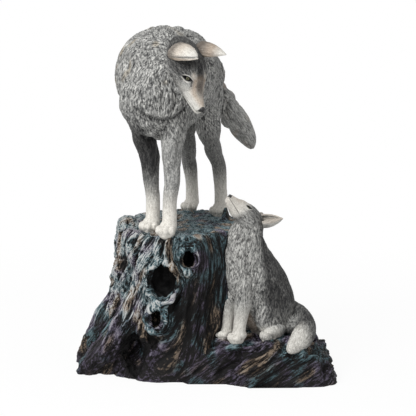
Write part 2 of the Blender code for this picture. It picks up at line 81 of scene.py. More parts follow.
def mix(a, b, share):
    if max(np.ndim(a), np.ndim(b)) > np.ndim(share):
        share = np.asarray(share)[..., None]
    return a * (1.0 - share) + b * share


class Stand:
    # A set of axes of its own for one animal or head, in mm: forward, left and up
    def __init__(self, origin, heading, drop=0.0):
        h, d = math.radians(heading), math.radians(drop)
        self.origin = Vector(origin)
        self.forward = Vector((-math.sin(h) * math.cos(d), -math.cos(h) * math.cos(d), -math.sin(d)))
        self.left = Vector((math.cos(h), -math.sin(h), 0.0))
        self.up = self.forward.cross(self.left)
        self.axes = np.array([self.forward, self.left, self.up])

    def way(self, f, l, u):
        return self.forward * f + self.left * l + self.up * u

    def at(self, f, l, u):
        return self.origin + self.way(f, l, u)

    def local(self, points):
        return (points - np.array(self.origin)) @ self.axes.T


def curveThrough(rows, steps):
    # Rows of numbers joined by a smooth curve
    found = []
    for i in range(len(rows) - 1):
        p, q, r, s = (np.array(rows[max(0, min(len(rows) - 1, i + k))], float) for k in (-1, 0, 1, 2))
        for t in np.arange(steps) / steps:
            found.append(q + 0.5 * t * (r - p + t * (2 * p - 5 * q + 4 * r - s + t * (3 * (q - r) + s - p))))
    found.append(np.array(rows[-1], float))
    return np.array(found)


# One ball, modelled once and copied: limbs and bodies are strings of them, fused into one skin
bpy.ops.mesh.primitive_uv_sphere_add(segments=20, ring_count=12, radius=1.0)
ballObject = bpy.context.object
ballCorners = np.array([v.co for v in ballObject.data.vertices])
ballFaces = [list(p.vertices) for p in ballObject.data.polygons]
bpy.data.objects.remove(ballObject)


class Clay:
    # Balls gathered in mm before they are fused, with the way the coat or grain runs at each of them
    def __init__(self):
        self.corners, self.faces, self.count = [], [], 0
        self.beads, self.runs, self.sizes = [], [], []

    def ball(self, stand, centre, radii, run=None):
        axes = np.array([stand.forward, stand.left, stand.up])
        self.add(np.array(stand.at(*centre)), (ballCorners * radii) @ axes)
        if run is not None:
            self.beads.append(np.array(stand.at(*centre)))
            self.runs.append(np.array(stand.way(*run)))
            self.sizes.append(float(np.mean(radii)))

    def add(self, centre, corners):
        self.corners.append(corners + centre)
        self.faces.extend([[k + self.count for k in face] for face in ballFaces])
        self.count += len(corners)

    def limb(self, stand, rows, unit=1.0, steps=10, against=False):
        # Sections (forward, left, up, half across, half through) in mm along a smooth line
        line = curveThrough(rows, steps) * unit
        centres = np.array([stand.at(*row[:3]) for row in line])
        along = np.gradient(centres, axis=0)
        along /= np.linalg.norm(along, axis=1)[:, None]
        side = np.array(stand.left)
        for centre, run, row in zip(centres, along, line):
            across = side - run * (side @ run)
            across /= np.linalg.norm(across)
            through = np.cross(run, across)
            depth = 0.8 * min(row[3], row[4])
            turned = np.array([run, across, through])
            self.add(centre, (ballCorners * (depth, row[3], row[4])) @ turned)
            self.beads.append(centre)
            self.runs.append(-run if against else run)
            self.sizes.append(0.5 * (row[3] + row[4]))

    def fused(self, name, voxel, rounds):
        mesh = bpy.data.meshes.new(name)
        mesh.from_pydata((np.concatenate(self.corners) + np.array(shift)) * mm, [], self.faces)
        piece = bpy.data.objects.new(name, mesh)
        bpy.context.scene.collection.objects.link(piece)
        return skin(piece, voxel, rounds)


def apply(piece):
    bpy.ops.object.select_all(action="DESELECT")
    bpy.context.view_layer.objects.active = piece
    piece.select_set(True)
    for modifier in list(piece.modifiers):
        bpy.ops.object.modifier_apply(modifier=modifier.name)
    piece.select_set(False)


def skin(piece, voxel, rounds, factor=0.5):
    # One skin over everything in the piece, eased where parts meet
    remesh = piece.modifiers.new("skin", "REMESH")
    remesh.mode = "VOXEL"
    remesh.voxel_size = voxel * mm
    ease = piece.modifiers.new("ease", "SMOOTH")
    ease.factor = factor
    ease.iterations = rounds
    apply(piece)
    return piece


def corners(piece):
    # The piece's points and their outward directions, in mm before the shift
    count = len(piece.data.vertices)
    co, no = np.empty(count * 3), np.empty(count * 3)
    piece.data.vertices.foreach_get("co", co)
    piece.data.vertex_normals.foreach_get("vector", no)
    return co.reshape(-1, 3) / mm - np.array(shift), no.reshape(-1, 3)


def putCorners(piece, points):
    piece.data.vertices.foreach_set("co", ((points + np.array(shift)) * mm).ravel())
    piece.data.update()


def treeOf(points):
    tree = kdtree.KDTree(len(points))
    for i, p in enumerate(points):
        tree.insert(p, i)
    tree.balance()
    return tree


def paint(piece, name, values):
    values = np.asarray(values, float)
    if values.ndim == 1:
        piece.data.attributes.new(name, "FLOAT", "POINT").data.foreach_set("value", values)
    else:
        piece.data.attributes.new(name, "FLOAT_VECTOR", "POINT").data.foreach_set("vector", values.ravel())


def softNoise(points, pitch, seed=0.0):
    # About -1 to 1, with lumps this many mm apart
    return np.array([noise.noise(Vector(p) / pitch + Vector((seed, 2 * seed, 3 * seed))) for p in points])


# Coat: tapered locks laid along the body like shingles


def combed(clay, points, normals, sink=0.0):
    # The way the coat runs at each point: that of the nearest limb, laid flat on the surface
    tree = treeOf(clay.beads)
    runs, sizes = np.array(clay.runs), np.array(clay.sizes)
    found = np.zeros_like(points)
    for i, p in enumerate(points):
        for _, k, distance in tree.find_n(p, 5):
            found[i] += runs[k] / max(0.4, distance / sizes[k]) ** 4
    found /= np.linalg.norm(found, axis=1)[:, None] + 1e-9
    found[:, 2] -= sink
    return laidFlat(found, normals)


def broadLocks(points, foot, height):
    # The broad locks that the casting's own shape has too, in mm
    sway = 0.6 * softNoise(points, 28.75)
    crown = np.abs(softNoise((points / 11.5 + sway[:, None] * (1, 1, 0)) * (1, 1, 0.42), 1.0))
    deep = 2.2 * smoothStep(0.10, 0.40, (points[:, 2] - foot) / height)
    return deep * (2.2 * np.minimum(crown, 0.42) - 0.38)


def drawnOut(points, along, stretch):
    # Places in mm in which everything is this much shorter along one way, for hairs drawn out that way
    along = np.array(Vector(along).normalized())
    return points - (points @ along)[:, None] * along * (1.0 - 1.0 / stretch)


def laidFlat(ways, normals):
    ways = ways - normals * np.sum(ways * normals, axis=1)[:, None]
    return ways / (np.linalg.norm(ways, axis=1)[:, None] + 1e-9)


def locks(points, normals, ways, density, long, wide, high):
    # Relief in mm and a tone from 0 to 1 of overlapping locks, sized in mm by the values of each point
    tree = treeOf(points)
    relief = np.zeros(len(points))
    tone = np.full(len(points), 0.3)
    picks = rng.choice(len(points), size=int(density), replace=False)
    for k in picks:
        p, n = points[k], normals[k]
        d = ways[k] + np.cross(n, ways[k]) * rng.normal(0.0, 0.22)
        d /= np.linalg.norm(d)
        side = np.cross(n, d)
        length = long[k] * rng.uniform(0.7, 1.3)
        width = wide[k] * rng.uniform(0.75, 1.25)
        bend = rng.normal(0.0, 0.35) * width
        lift = rng.uniform(0.55, 1.0)
        shade = rng.uniform()
        close = np.array([hit[1] for hit in tree.find_range(p + d * (0.5 * length), 0.5 * length + width)])
        if len(close) == 0:
            continue
        away = points[close] - p
        s = (away @ d) / length
        t = (away @ side - bend * s * s) / width
        body = np.sin(np.pi * np.clip(s, 0.0, 1.0) ** 0.75) ** 0.6
        ridge = body * (1.0 - (t / (0.35 + 0.65 * np.clip(1.0 - s, 0, 1) ** 0.5)) ** 2)
        height = high[k] * lift * (0.35 + 0.65 * np.clip(s, 0, 1)) * ridge
        good = (s > 0.0) & (s < 1.0) & (normals[close] @ n > 0.15) & (height > relief[close])
        close, height = close[good], height[good]
        relief[close] = height
        tone[close] = shade
    return relief, tone


def streaked(points, ways, values, step, rounds):
    # Values drawn out into fibres along the ways
    tree = treeOf(points)
    ahead = np.array([tree.find(p)[1] for p in points + ways * step])
    behind = np.array([tree.find(p)[1] for p in points - ways * step])
    for _ in range(rounds):
        values = (values + values[ahead] + values[behind]) / 3.0
    values = values - values.mean()
    return values / (values.std() + 1e-9)


# Wolf: places of its parts, in mm and degrees
wolfPlan = dict(
    heading=20.8, middle=(-20.0, 8.0), standsAt=117.6, height=153.5, wheelbase=98.0, foreSpread=20.0,
    hindSpread=31.0, stagger=14.5, paw=8.4, ruff=36.8, chest=58.0, rump=39.0, headLength=54.0,
    headHeading=-42.0, headDrop=55.0, ear=26.5, tail=10.0, topFall=2.2,
)
w = wolfPlan
wolf = Stand((w["middle"][0], w["middle"][1], w["standsAt"]), w["heading"])
wolfUnit = w["height"] / 150.0
wolfHead = Stand(wolf.at(0.5 * w["wheelbase"] - 3, 23, 0.808 * w["height"]), w["headHeading"], w["headDrop"])


def pawClay(clay, stand, where, size):
    f, l, u = where
    clay.ball(stand, (f + 0.15 * size, l, u - 0.05 * size), (0.90 * size, 0.72 * size, 0.50 * size))
    instep = (0.95 * size, 0.78 * size, 0.68 * size)
    clay.ball(stand, (f - 0.15 * size, l, u + 0.55 * size), instep, (0.6, 0, -0.8))
    for ahead, aside in ((0.50, -0.66), (0.82, -0.24), (0.82, 0.24), (0.50, 0.66)):
        toe = (f + ahead * size, l + aside * size, u + 0.34 * size)
        clay.ball(stand, toe, (0.46 * size, 0.28 * size, 0.42 * size), (0.8, 0, -0.6))


def wolfBodyClay():
    clay = Clay()
    unit = wolfUnit
    sizes = (0.5 * w["wheelbase"], 0.5 * w["chest"], 0.5 * w["rump"], w["ruff"])
    half, chest, rump, ruff = (n / unit for n in sizes)
    torso = [
        (half + 4, -3, 88, 0.62 * chest, 20), (half - 5, -4, 95, 0.92 * chest, 29),
        (half - 21, -4, 100, chest, 33.5), (half - 40, -4, 103, 0.97 * chest, 32),
        (-0.35 * half, -3, 105, 0.86 * chest, 29), (-0.78 * half, -3, 107, 1.12 * rump, 25),
        (-half - 3, -3, 107, rump, 23.5), (-half - 14, -3, 105, 0.80 * rump, 18),
    ]
    clay.limb(wolf, torso, unit)
    neck = [
        (half - 54, 0, 113, 0.74 * ruff, 27), (half - 38, -1, 115, 0.98 * ruff, 33.5),
        (half - 21, -3, 114, ruff, ruff), (half - 11, 0, 112, 0.84 * ruff, 0.86 * ruff),
        (half - 6, 9, 114, 0.56 * ruff, 0.56 * ruff),
    ]
    clay.limb(wolf, neck, unit, against=True)
    for sign in (-1, 1):
        ahead = sign * 0.5 * w["stagger"] / unit
        fore, hind = half + ahead, -half + ahead
        aside, apart = sign * 0.5 * w["foreSpread"] / unit, sign * 0.5 * w["hindSpread"] / unit
        dip = w["topFall"] / unit
        foreleg = [
            (half - 13, sign * 15 - 3, 96, 8, 17), (half - 9 + 0.3 * ahead, sign * 14 - 2, 76, 8.8, 13),
            (fore - 9, sign * 12.5 - 1, 58, 7.4, 9), (fore - 7, aside * 1.2, 40, 5.9, 6.6),
            (fore - 5.5, aside, 22, 5.3, 5.8), (fore - 4, aside, 5 - dip / 2, 5.6, 5.8),
        ]
        clay.limb(wolf, foreleg, unit)
        hindleg = [
            (-half - 1, sign * 8 - 3, 103, 10, 20), (-half + 5 + 0.6 * ahead, sign * 10 - 3, 80, 9.5, 16),
            (hind + 4, 0.9 * apart - 2.5, 60, 7.0, 10), (hind - 6, apart - 2.5, 40, 5.6, 7.2),
            (hind - 6, apart - 1, 22, 5.0, 6.0), (hind - 4, apart, 5 + dip / 2, 5.5, 5.8),
        ]
        clay.limb(wolf, hindleg, unit)
    thick = w["tail"] / unit
    tail = [
        (-half - 12, -2, 108, 7, 7), (-half - 20, 1, 99, 8.5, 8.5),
        (-half - 27, 8, 86, 1.05 * thick, 1.05 * thick),
        (-half - 32, 18, 71, thick, thick), (-half - 34, 26, 58, 0.66 * thick, 0.66 * thick),
        (-half - 35, 29, 50, 0.2 * thick, 0.2 * thick),
    ]
    clay.limb(wolf, tail, unit)
    for sign in (-1, 1):
        ahead = sign * 0.5 * w["stagger"]
        dip = 0.5 * w["topFall"]
        fore = (0.5 * w["wheelbase"] + ahead, sign * 0.5 * w["foreSpread"], -dip)
        hind = (-0.5 * w["wheelbase"] + ahead, sign * 0.5 * w["hindSpread"], dip)
        pawClay(clay, wolf, fore, w["paw"])
        pawClay(clay, wolf, hind, 0.92 * w["paw"])
    return clay


# Cub
cubPlan = dict(
    heading=54.0, middle=(34.5, -30.0), sitsAt=34.1, height=85.0, paw=6.8, headLength=36.0, headHeading=59.0,
    headRise=52.0, ear=16.0,
)
c = cubPlan
cub = Stand((c["middle"][0], c["middle"][1], c["sitsAt"]), c["heading"])
cubUnit = c["height"] / 85.0
cubHead = Stand(cub.at(5.95, 1.02, 1.088 * c["height"]), c["headHeading"], -c["headRise"])


def cubBodyClay():
    clay = Clay()
    unit = cubUnit
    torso = [
        (4, -1, 84, 12, 12), (6, -2, 75, 13.4, 14.5), (5, -2, 64, 14.5, 18), (2, -1, 52, 16, 22.5),
        (-4, 0, 41, 17, 24), (-11, 0, 30, 18, 24), (-17, 0, 16, 18, 22), (-18, 0, 4, 14, 17),
    ]
    clay.limb(cub, torso, unit)
    for sign in (-1, 1):
        clay.ball(cub, (-9, sign * 12, 17), (15, 8.5, 16), (0.5, 0, -0.9))
        foreleg = [
            (10, sign * 8, 46, 7.5, 9), (15, sign * 8, 30, 6.2, 6.8), (17.5, sign * 7.7, 16, 5.1, 5.3),
            (19, sign * 7.7, 4, 5.0, 5.0),
        ]
        clay.limb(cub, foreleg, unit)
        clay.ball(cub, (-9, sign * 16.5, 5), (10, 5.5, 6.5), (1, 0, -0.2))
        clay.ball(cub, (-27, sign * 13, 7), (9, 7, 8), (-0.3, 0, -0.9))
        pawClay(clay, cub, (20, sign * 7.7, 0), c["paw"])
        pawClay(clay, cub, (-3, sign * 18, 0), c["paw"])
    tail = [
        (-31, 3, 17, 8, 8), (-36, 11, 13, 8.5, 8.5), (-33, 24, 6, 8.5, 8.5), (-22, 33, 0, 8.5, 8.5),
        (-11, 36, -5, 5, 5), (-7, 37, -7, 2, 2),
    ]
    clay.limb(cub, tail, unit)
    return clay


def headClay(head, length, fullness, snout):
    clay = Clay()
    unit = length / 52.0
    line = [
        (-17, 0, 1.0, 9, 9), (-11, 0, 0.6, 13.0, 12.6), (-3, 0, 0.2, 15.4, 13.6), (4, 0, 0.0, 14.8, 12.8),
        (10, 0, -1.0, 12.4, 11.4), (15, 0, -2.8, 8.9, 9.6), (21, 0, -4.2, 6.6, 7.8), (27, 0, -5.0, 5.0, 6.3),
        (32, 0, -5.2, 3.9, 5.0),
    ]
    line = [(n, l, u, a * (snout if n > 12 else 1), b * (snout if n > 12 else 1)) for n, l, u, a, b in line]
    clay.limb(head, line, unit, against=True)
    for sign in (-1, 1):
        cheek = (-2 * unit, sign * 10.5 * fullness * unit, -5 * unit)
        clay.ball(head, cheek, [n * unit * fullness for n in (9, 7.5, 9)])
        clay.ball(head, (8.5 * unit, sign * 6.0 * unit, 6.0 * unit), [n * unit for n in (5.0, 3.4, 3.2)])
    clay.ball(head, (33.4 * unit, 0, -3.0 * unit), [n * unit for n in (2.2, 2.4, 2.0)])
    return clay


# Wood
woodPlan = dict(
    height=118.0, width=98.0, depth=132.0, middle=(-22.0, 8.0), flare=10.0, reach=34.0, ledge=34.5, rim=3.2,
    topFall=2.2, knots=((-14.3, 0.83, 14.0, 18.0), (-34.6, 0.68, 23.0, 30.0), (-39.0, 0.43, 13.5, 18.0)),
    knotDepth=15.0, cave=(-56.0, 19.0, 20.0, 36.0, 22.0),
)
t = woodPlan
ground = Stand((0, 0, 0), 0)


def loftObject(name, rings):
    # A closed skin through rings of points in mm, flat at its two ends
    count = len(rings[0])
    points = [p for ring in rings for p in ring]
    faces = [tuple(range(count))[::-1], tuple(range(len(points) - count, len(points)))]
    for r in range(len(rings) - 1):
        for i in range(count):
            j = (i + 1) % count
            faces.append((r * count + i, r * count + j, (r + 1) * count + j, (r + 1) * count + i))
    mesh = bpy.data.meshes.new(name)
    mesh.from_pydata([(Vector(p) + shift) * mm for p in points], [], faces)
    piece = bpy.data.objects.new(name, mesh)
    bpy.context.scene.collection.objects.link(piece)
    return piece


def trunkRings():
    mx, my = t["middle"]
    wide, deep, top, out = t["width"] / 2, t["depth"] / 2, t["height"], t["flare"]
    rows = [
        (mx - 4, my + 6, -8, wide + out, deep - 6), (mx - 3, my + 5, 0.14 * top, wide + out, deep - 5),
        (mx - 2, my + 3, 0.40 * top, wide + 0.7 * out, deep - 4),
        (mx, my + 1, 0.70 * top, wide + 0.35 * out, deep - 1), (mx, my, 0.90 * top, wide, deep),
        (mx, my, top - 1, wide - 3, deep - 3),
    ]
    rings = []
    for x, y, z, across, through in curveThrough(rows, 6):
        tilt = t["topFall"] * max(0.0, z / top) / w["wheelbase"]
        turns = 2 * np.pi * np.arange(72) / 72
        ring = np.column_stack([x + across * np.cos(turns), y + through * np.sin(turns), np.full(72, z)])
        ring[:, 2] += tilt * (ring[:, 1] - my)
        rings.append(ring)
    return rings


def frontOf(x, height):
    # The trunk's front face at this place across and this share of its height
    across = (x - t["middle"][0]) / (t["width"] / 2 + t["flare"] * (1 - height))
    return t["middle"][1] - (t["depth"] / 2 - 5 * (1 - height)) * math.sqrt(max(0.05, 1 - across * across))


def join(pieces, name):
    bpy.ops.object.select_all(action="DESELECT")
    for piece in pieces:
        piece.select_set(True)
    bpy.context.view_layer.objects.active = pieces[0]
    bpy.ops.object.join()
    pieces[0].name = name
    return pieces[0]


def makeTrunk(voxel):
    mx, my = t["middle"]
    wide, deep, top = t["width"] / 2, t["depth"] / 2, t["height"]
    left, back = wide - mx + t["reach"], my + deep
    clay = Clay()
    roots = [
        [(24, -45, 62, 14, 14), (27, -60, 42, 13, 13), (24, 27 - left, 24, 8, 10), (19, 13 - left, 8, 8, 8),
         (15, 9 - left, -8, 7, 7)],
        [(-4, -52, 68, 16, 18), (-8, 34 - left, 44, 15, 19), (-12, 20 - left, 24, 13, 19),
         (-18, 12 - left, 6, 11, 16), (-20, 10 - left, -8, 10, 15)],
        [(33, -46, 68, 12, 12), (29, -58, 46, 13, 13), (18, 34 - left, 24, 13, 13),
         (10, 27 - left, 6, 12, 12), (9, 26 - left, -8, 11, 12)],
        [(34, -41, 72, 11, 11), (35, -41, 40, 11, 9), (34, -40, 16, 10, 8), (33, -39, -8, 10, 7)],
        [(14 - back, -42, 60, 12, 12), (5 - back, -52, 26, 11, 11), (1 - back, -57, -8, 10, 10)],
        [(14 - back, 2, 60, 12, 12), (5 - back, 9, 26, 11, 11), (1 - back, 12, -8, 10, 10)],
    ]
    for root in roots:
        clay.limb(ground, root)
    clay.ball(ground, (12 - my, mx - wide + 8, top - 3), (17, 8.5, 9))
    spike = [(-20, 13, top - 6, 4.2, 6), (-20, 13.6, top + 3, 3.2, 4), (-20, 14.2, top + 10, 1.8, 2)]
    clay.limb(ground, spike)
    for x, share, width, tall in t["knots"]:
        for a in np.arange(0, 360, 6):
            px = x + 0.5 * width * math.sin(math.radians(a))
            up = share * top + 0.5 * tall * math.cos(math.radians(a))
            clay.ball(ground, (0.3 * t["rim"] - frontOf(px, share), px, up), (t["rim"],) * 3)
    limbs = clay.fused("roots", 1.6, 1)
    trunk = join([loftObject("stump", trunkRings()), limbs], "stump")
    skin(trunk, 1.5, 3)
    holes = [(x, share * top, width, tall, t["knotDepth"]) for x, share, width, tall in t["knots"]]
    holes.append(t["cave"])
    for x, up, width, tall, depth in holes:
        hole = Clay()
        hole.ball(ground, (-frontOf(x, up / top), x, up), (depth, 0.5 * width, 0.5 * tall))
        cutter = hole.fused("hole", 0.8, 0)
        cut = trunk.modifiers.new("hole", "BOOLEAN")
        cut.operation = "DIFFERENCE"
        cut.solver = "EXACT"
        cut.object = cutter
        apply(trunk)
        bpy.data.objects.remove(cutter)
    return skin(trunk, voxel, 2)


def makeLedge(voxel):
    outline = [
        (-29, -34, 0.14), (-25, -47, 0.30), (-12, -49, 0.60), (0, -51, 0.84), (17, -54, 0.95),
        (24, -59, 0.97), (40, -62, 0.94), (64, -61.5, 0.76), (84, -59, 0.72), (97, -50, 0.50),
        (98, -30, 0.60), (93, -6, 0.90),
        (82, 16, 0.95), (56, 29, 1.0), (20, 32, 1.0), (-10, 10, 1.0), (-20, -16, 0.60),
    ]
    middle = np.array((36.0, -16.0, 0.0))
    rings = []
    levels = ((None, 0.0), (0.0, 0.0), (0.5, 0.02), (0.85, 0.06), (1.0, 0.14), (1.0, 0.45), (1.0, 0.9))
    for height, inward in levels:
        ring = []
        for x, y, share in outline:
            foot = np.array((x, y, 0.0))
            level = -8.0 if height is None else height * (1.0 if inward > 0.4 else share) * t["ledge"]
            ring.append(foot + (middle - foot) * inward + np.array((0, 0, level)))
        rings.append(ring)
    mounds = Clay()
    for sign in (-1, 1):
        for ahead, aside in ((20, 7.7), (3, 18)):
            size = c["paw"]
            centre = (ahead - 0.2 * size, sign * aside, -0.9 * size)
            mounds.ball(cub, centre, (1.9 * size, 1.7 * size, 1.14 * size))
    rock = join([loftObject("ledge", rings), mounds.fused("mounds", 1.5, 1)], "ledge")
    return skin(rock, voxel, 4)


def cutFlat(piece):
    # The underside, cut flat at the ground
    bpy.ops.object.select_all(action="DESELECT")
    bpy.context.view_layer.objects.active = piece
    piece.select_set(True)
    bpy.ops.object.mode_set(mode="EDIT")
    bpy.ops.mesh.select_all(action="SELECT")
    bpy.ops.mesh.bisect(plane_co=(0, 0, 0.00002), plane_no=(0, 0, -1), use_fill=True, clear_outer=True)
    bpy.ops.object.mode_set(mode="OBJECT")
    piece.select_set(False)


# Ears


def earObject(name, head, base, axis, back, length, radius, wall):
    # A pricked ear: a cone's wall, open on the side away from back, that runs out to a point
    axis = Vector(axis).normalized()
    back = (back - axis * back.dot(axis)).normalized()
    across = axis.cross(back)
    start = head.at(*base)
    steps, arcs, openHalf = 16, 22, math.radians(62)
    skins = []
    for inset in (0.0, wall):
        rows = []
        for s in range(steps + 1):
            share = s / steps
            size = radius * max((1 - share**1.7) ** 0.8, 0.03) * (0.86 + 0.5 * share * (1 - share))
            row = []
            for a in range(arcs + 1):
                angle = -(math.pi - openHalf) + 2 * (math.pi - openHalf) * a / arcs
                reach = max(size - inset * (1 - 0.4 * share), 0.15)
                lift = length * (share - 0.12 * (1 - share) * (1 - math.cos(angle)) / 2)
                spot = start + axis * lift + back * (reach * math.cos(angle) * 0.8)
                row.append(spot + across * (reach * math.sin(angle)))
            rows.append(row)
        skins.append(rows)
    points, faces = [], []
    index = {}
    for k, rows in enumerate(skins):
        for s, row in enumerate(rows):
            for a, p in enumerate(row):
                index[k, s, a] = len(points)
                points.append((p + shift) * mm)
    for s in range(steps):
        for a in range(arcs):
            faces.append((index[0, s, a], index[0, s, a + 1], index[0, s + 1, a + 1], index[0, s + 1, a]))
            faces.append((index[1, s, a], index[1, s + 1, a], index[1, s + 1, a + 1], index[1, s, a + 1]))
        for a, turn in ((0, 1), (arcs, -1)):
            faces.append((index[0, s, a], index[0, s + 1, a], index[1, s + 1, a], index[1, s, a])[::turn])
    for a in range(arcs):
        faces.append((index[0, 0, a], index[1, 0, a], index[1, 0, a + 1], index[0, 0, a + 1]))
        faces.append((index[0, steps, a], index[0, steps, a + 1], index[1, steps, a + 1], index[1, steps, a]))
    mesh = bpy.data.meshes.new(name)
    mesh.from_pydata(points, [], faces)
    piece = bpy.data.objects.new(name, mesh)
    bpy.context.scene.collection.objects.link(piece)
    bpy.context.view_layer.objects.active = piece
    piece.select_set(True)
    bpy.ops.object.mode_set(mode="EDIT")
    bpy.ops.mesh.select_all(action="SELECT")
    bpy.ops.mesh.normals_make_consistent(inside=False)
    bpy.ops.object.mode_set(mode="OBJECT")
    piece.select_set(False)
    return piece


# Paint: shader maths as plain expressions


class Socket:
    def __init__(self, tree, out):
        self.tree, self.out = tree, out

    def maths(self, operation, other, swap=False):
        n = self.tree.nodes.new("ShaderNodeMath")
        n.operation = operation
        first, second = (other, self) if swap else (self, other)
        for k, value in enumerate((first, second)):
            if isinstance(value, Socket):
                self.tree.links.new(value.out, n.inputs[k])
            elif value is not None:
                n.inputs[k].default_value = value
        return Socket(self.tree, n.outputs[0])

    def __add__(self, other):
        return self.maths("ADD", other)

    def __radd__(self, other):
        return self.maths("ADD", other, True)

    def __sub__(self, other):
        return self.maths("SUBTRACT", other)

    def __rsub__(self, other):
        return self.maths("SUBTRACT", other, True)

    def __mul__(self, other):
        return self.maths("MULTIPLY", other)

    def __rmul__(self, other):
        return self.maths("MULTIPLY", other, True)

    def clamp(self):
        return self.maths("MAXIMUM", 0.0).maths("MINIMUM", 1.0)

    def between(self, low, high):
        # 0 below low, 1 above high
        return ((self - low) * (1.0 / (high - low))).clamp()


class Finish:
    def __init__(self, name, roughness=0.6):
        self.material = bpy.data.materials.new(name)
        self.material.use_nodes = True
        self.tree = self.material.node_tree
        self.shader = self.tree.nodes["Principled BSDF"]
        self.shader.inputs["Roughness"].default_value = roughness

    def node(self, kind, settings=None, out=0, **values):
        n = self.tree.nodes.new(kind)
        for key, value in (settings or {}).items():
            setattr(n, key, value)
        for key, value in values.items():
            socket = next(s for s in n.inputs if s.identifier == key or s.name == key and s.enabled)
            if isinstance(value, Socket):
                self.tree.links.new(value.out, socket)
            else:
                socket.default_value = value
        return Socket(self.tree, n.outputs[out])

    def painted(self, name):
        return self.node("ShaderNodeAttribute", {"attribute_name": name}, out=2)

    def place(self):
        return self.node("ShaderNodeTexCoord", out=3)

    def flow(self):
        return self.node("ShaderNodeAttribute", {"attribute_name": "flow"}, out=1)

    def hairs(self, scale, detail=3.0, roughness=0.6):
        given = dict(Scale=scale, Detail=detail, Roughness=roughness)
        return self.node("ShaderNodeTexNoise", Vector=self.flow(), **given)

    def speckle(self, scale, detail=2.0):
        return self.node("ShaderNodeTexNoise", Vector=self.place(), Scale=scale, Detail=detail)

    def blend(self, share, a, b):
        n = self.tree.nodes.new("ShaderNodeMix")
        n.data_type = "RGBA"
        for key, value in (("Factor_Float", share), ("A_Color", a), ("B_Color", b)):
            socket = next(s for s in n.inputs if s.identifier == key)
            if isinstance(value, Socket):
                self.tree.links.new(value.out, socket)
            else:
                socket.default_value = value if key == "Factor_Float" else (*value, 1.0)
        return Socket(self.tree, next(s for s in n.outputs if s.identifier == "Result_Color"))

    def colour(self, value):
        self.tree.links.new(value.out, self.shader.inputs["Base Color"])

    def bump(self, height, strength, distance):
        bumped = self.node("ShaderNodeBump", Height=height, Strength=strength, Distance=distance)
        self.tree.links.new(bumped.out, self.shader.inputs["Normal"])


coatColours = dict(
    groove=(0.014, 0.014, 0.015), grey=(0.185, 0.186, 0.180), tip=(0.70, 0.695, 0.66),
    creamGroove=(0.36, 0.33, 0.285), cream=(0.86, 0.84, 0.78), char=(0.004, 0.004, 0.005),
    charTip=(0.115, 0.113, 0.107), gold=(0.42, 0.32, 0.17), tan=(0.42, 0.31, 0.215),
    tanGroove=(0.15, 0.10, 0.07), black=(0.004, 0.004, 0.004),
)


def coatFinish():
    # Dark in the grooves, grey on the locks and dry-brushed pale on their tips, by what each point was given;
    # what was given also holds painted shade in the hollows and on the shaded parts.
    k = coatColours
    f = Finish("paintedCoat", 0.65)
    f.shader.inputs["Specular IOR Level"].default_value = 0.35
    strand = f.painted("strand")
    tone = f.painted("tone")
    calm = f.painted("calm")
    tuft = f.hairs(0.85, 1.5, 0.5)
    hair = f.hairs(2.2, 3.0, 0.6)
    rough = strand * 0.78 + (tuft - 0.5) * 1.15 + (hair - 0.5) * 0.8 + 0.13
    smooth = strand * 0.15 + (hair - 0.5) * 1.0 + (tuft - 0.5) * 0.35 + 0.45
    raised = (rough + (smooth - rough) * calm).clamp()
    body = f.blend(raised.between(0.05, 0.45), k["groove"], k["grey"])
    body = f.blend(raised.between(0.38, 0.88) * tone.between(-0.6, 0.7), body, k["tip"])
    body = f.blend((f.painted("gold") * raised).clamp(), body, k["gold"])
    dark = f.blend(raised.between(0.35, 0.95), k["char"], k["charTip"])
    body = f.blend(f.painted("dark"), body, dark)
    pale = f.blend(smooth.between(0.15, 0.70), k["creamGroove"], k["cream"])
    body = f.blend(f.painted("pale"), body, pale)
    tan = f.blend(smooth.between(0.1, 0.7), k["tanGroove"], k["tan"])
    body = f.blend(f.painted("tan"), body, tan)
    body = f.blend(f.painted("black"), body, k["black"])
    f.colour(body)
    f.bump(strand * 0.3 + tuft * (0.45 - calm * 0.3) + hair * (0.35 - calm * 0.15), 0.7, 0.0011)
    return f.material


woodColours = dict(
    crack=(0.0008, 0.0008, 0.0010), bark=(0.0075, 0.0062, 0.0058), teal=(0.085, 0.160, 0.185),
    purple=(0.115, 0.095, 0.150), sand=(0.27, 0.20, 0.14), frost=(0.50, 0.51, 0.50),
)


def woodFinish():
    # Near black, with pale and coloured strokes on the ridges and the fine grain: a dry brush's paint, laid
    # more thickly where painted light from the upper left falls and thinly in painted shade.
    k = woodColours
    f = Finish("paintedWood", 0.6)
    f.shader.inputs["Specular IOR Level"].default_value = 0.2
    ridge = f.painted("strand")
    amount = f.painted("brushAndLight")
    middle = f.hairs(0.8, 2.0, 0.5)
    fine = f.hairs(2.3, 3.0, 0.6)
    grit = f.speckle(1400.0, 2.0)
    raised = (ridge * 0.62 + (middle - 0.5) * 1.35 + (fine - 0.5) * 1.3 + (grit - 0.5) * 0.5 + 0.12).clamp()
    brushAndLight = f.blend(f.painted("teal"), k["purple"], k["teal"])
    brushAndLight = f.blend(f.painted("sand"), brushAndLight, k["sand"])
    body = f.blend(raised.between(0.15, 0.65), k["crack"], k["bark"])
    lower = 0.60 - amount * 0.26
    lit = ((raised - lower) * 4.5).clamp()
    body = f.blend((lit * (amount * 0.60 + 0.45)).clamp(), body, brushAndLight)
    pale = ((raised - (lower + 0.20)) * 4.5).clamp()
    body = f.blend((pale * (amount * 1.3) * f.painted("frost")).clamp(), body, k["frost"])
    f.colour(body)
    f.bump(ridge * 0.2 + middle * 0.5 + fine * 0.5, 0.9, 0.0018)
    return f.material


def paintAll(pieces, points, given):
    # Each point of the thinned pieces takes the paints of the nearest point they were worked out for
    tree = treeOf(points)
    for piece in pieces:
        co, _ = corners(piece)
        nearest = np.array([tree.find(p)[1] for p in co])
        for name, values in given.items():
            paint(piece, name, np.broadcast_to(values, (len(points),) + np.shape(values)[1:])[nearest])


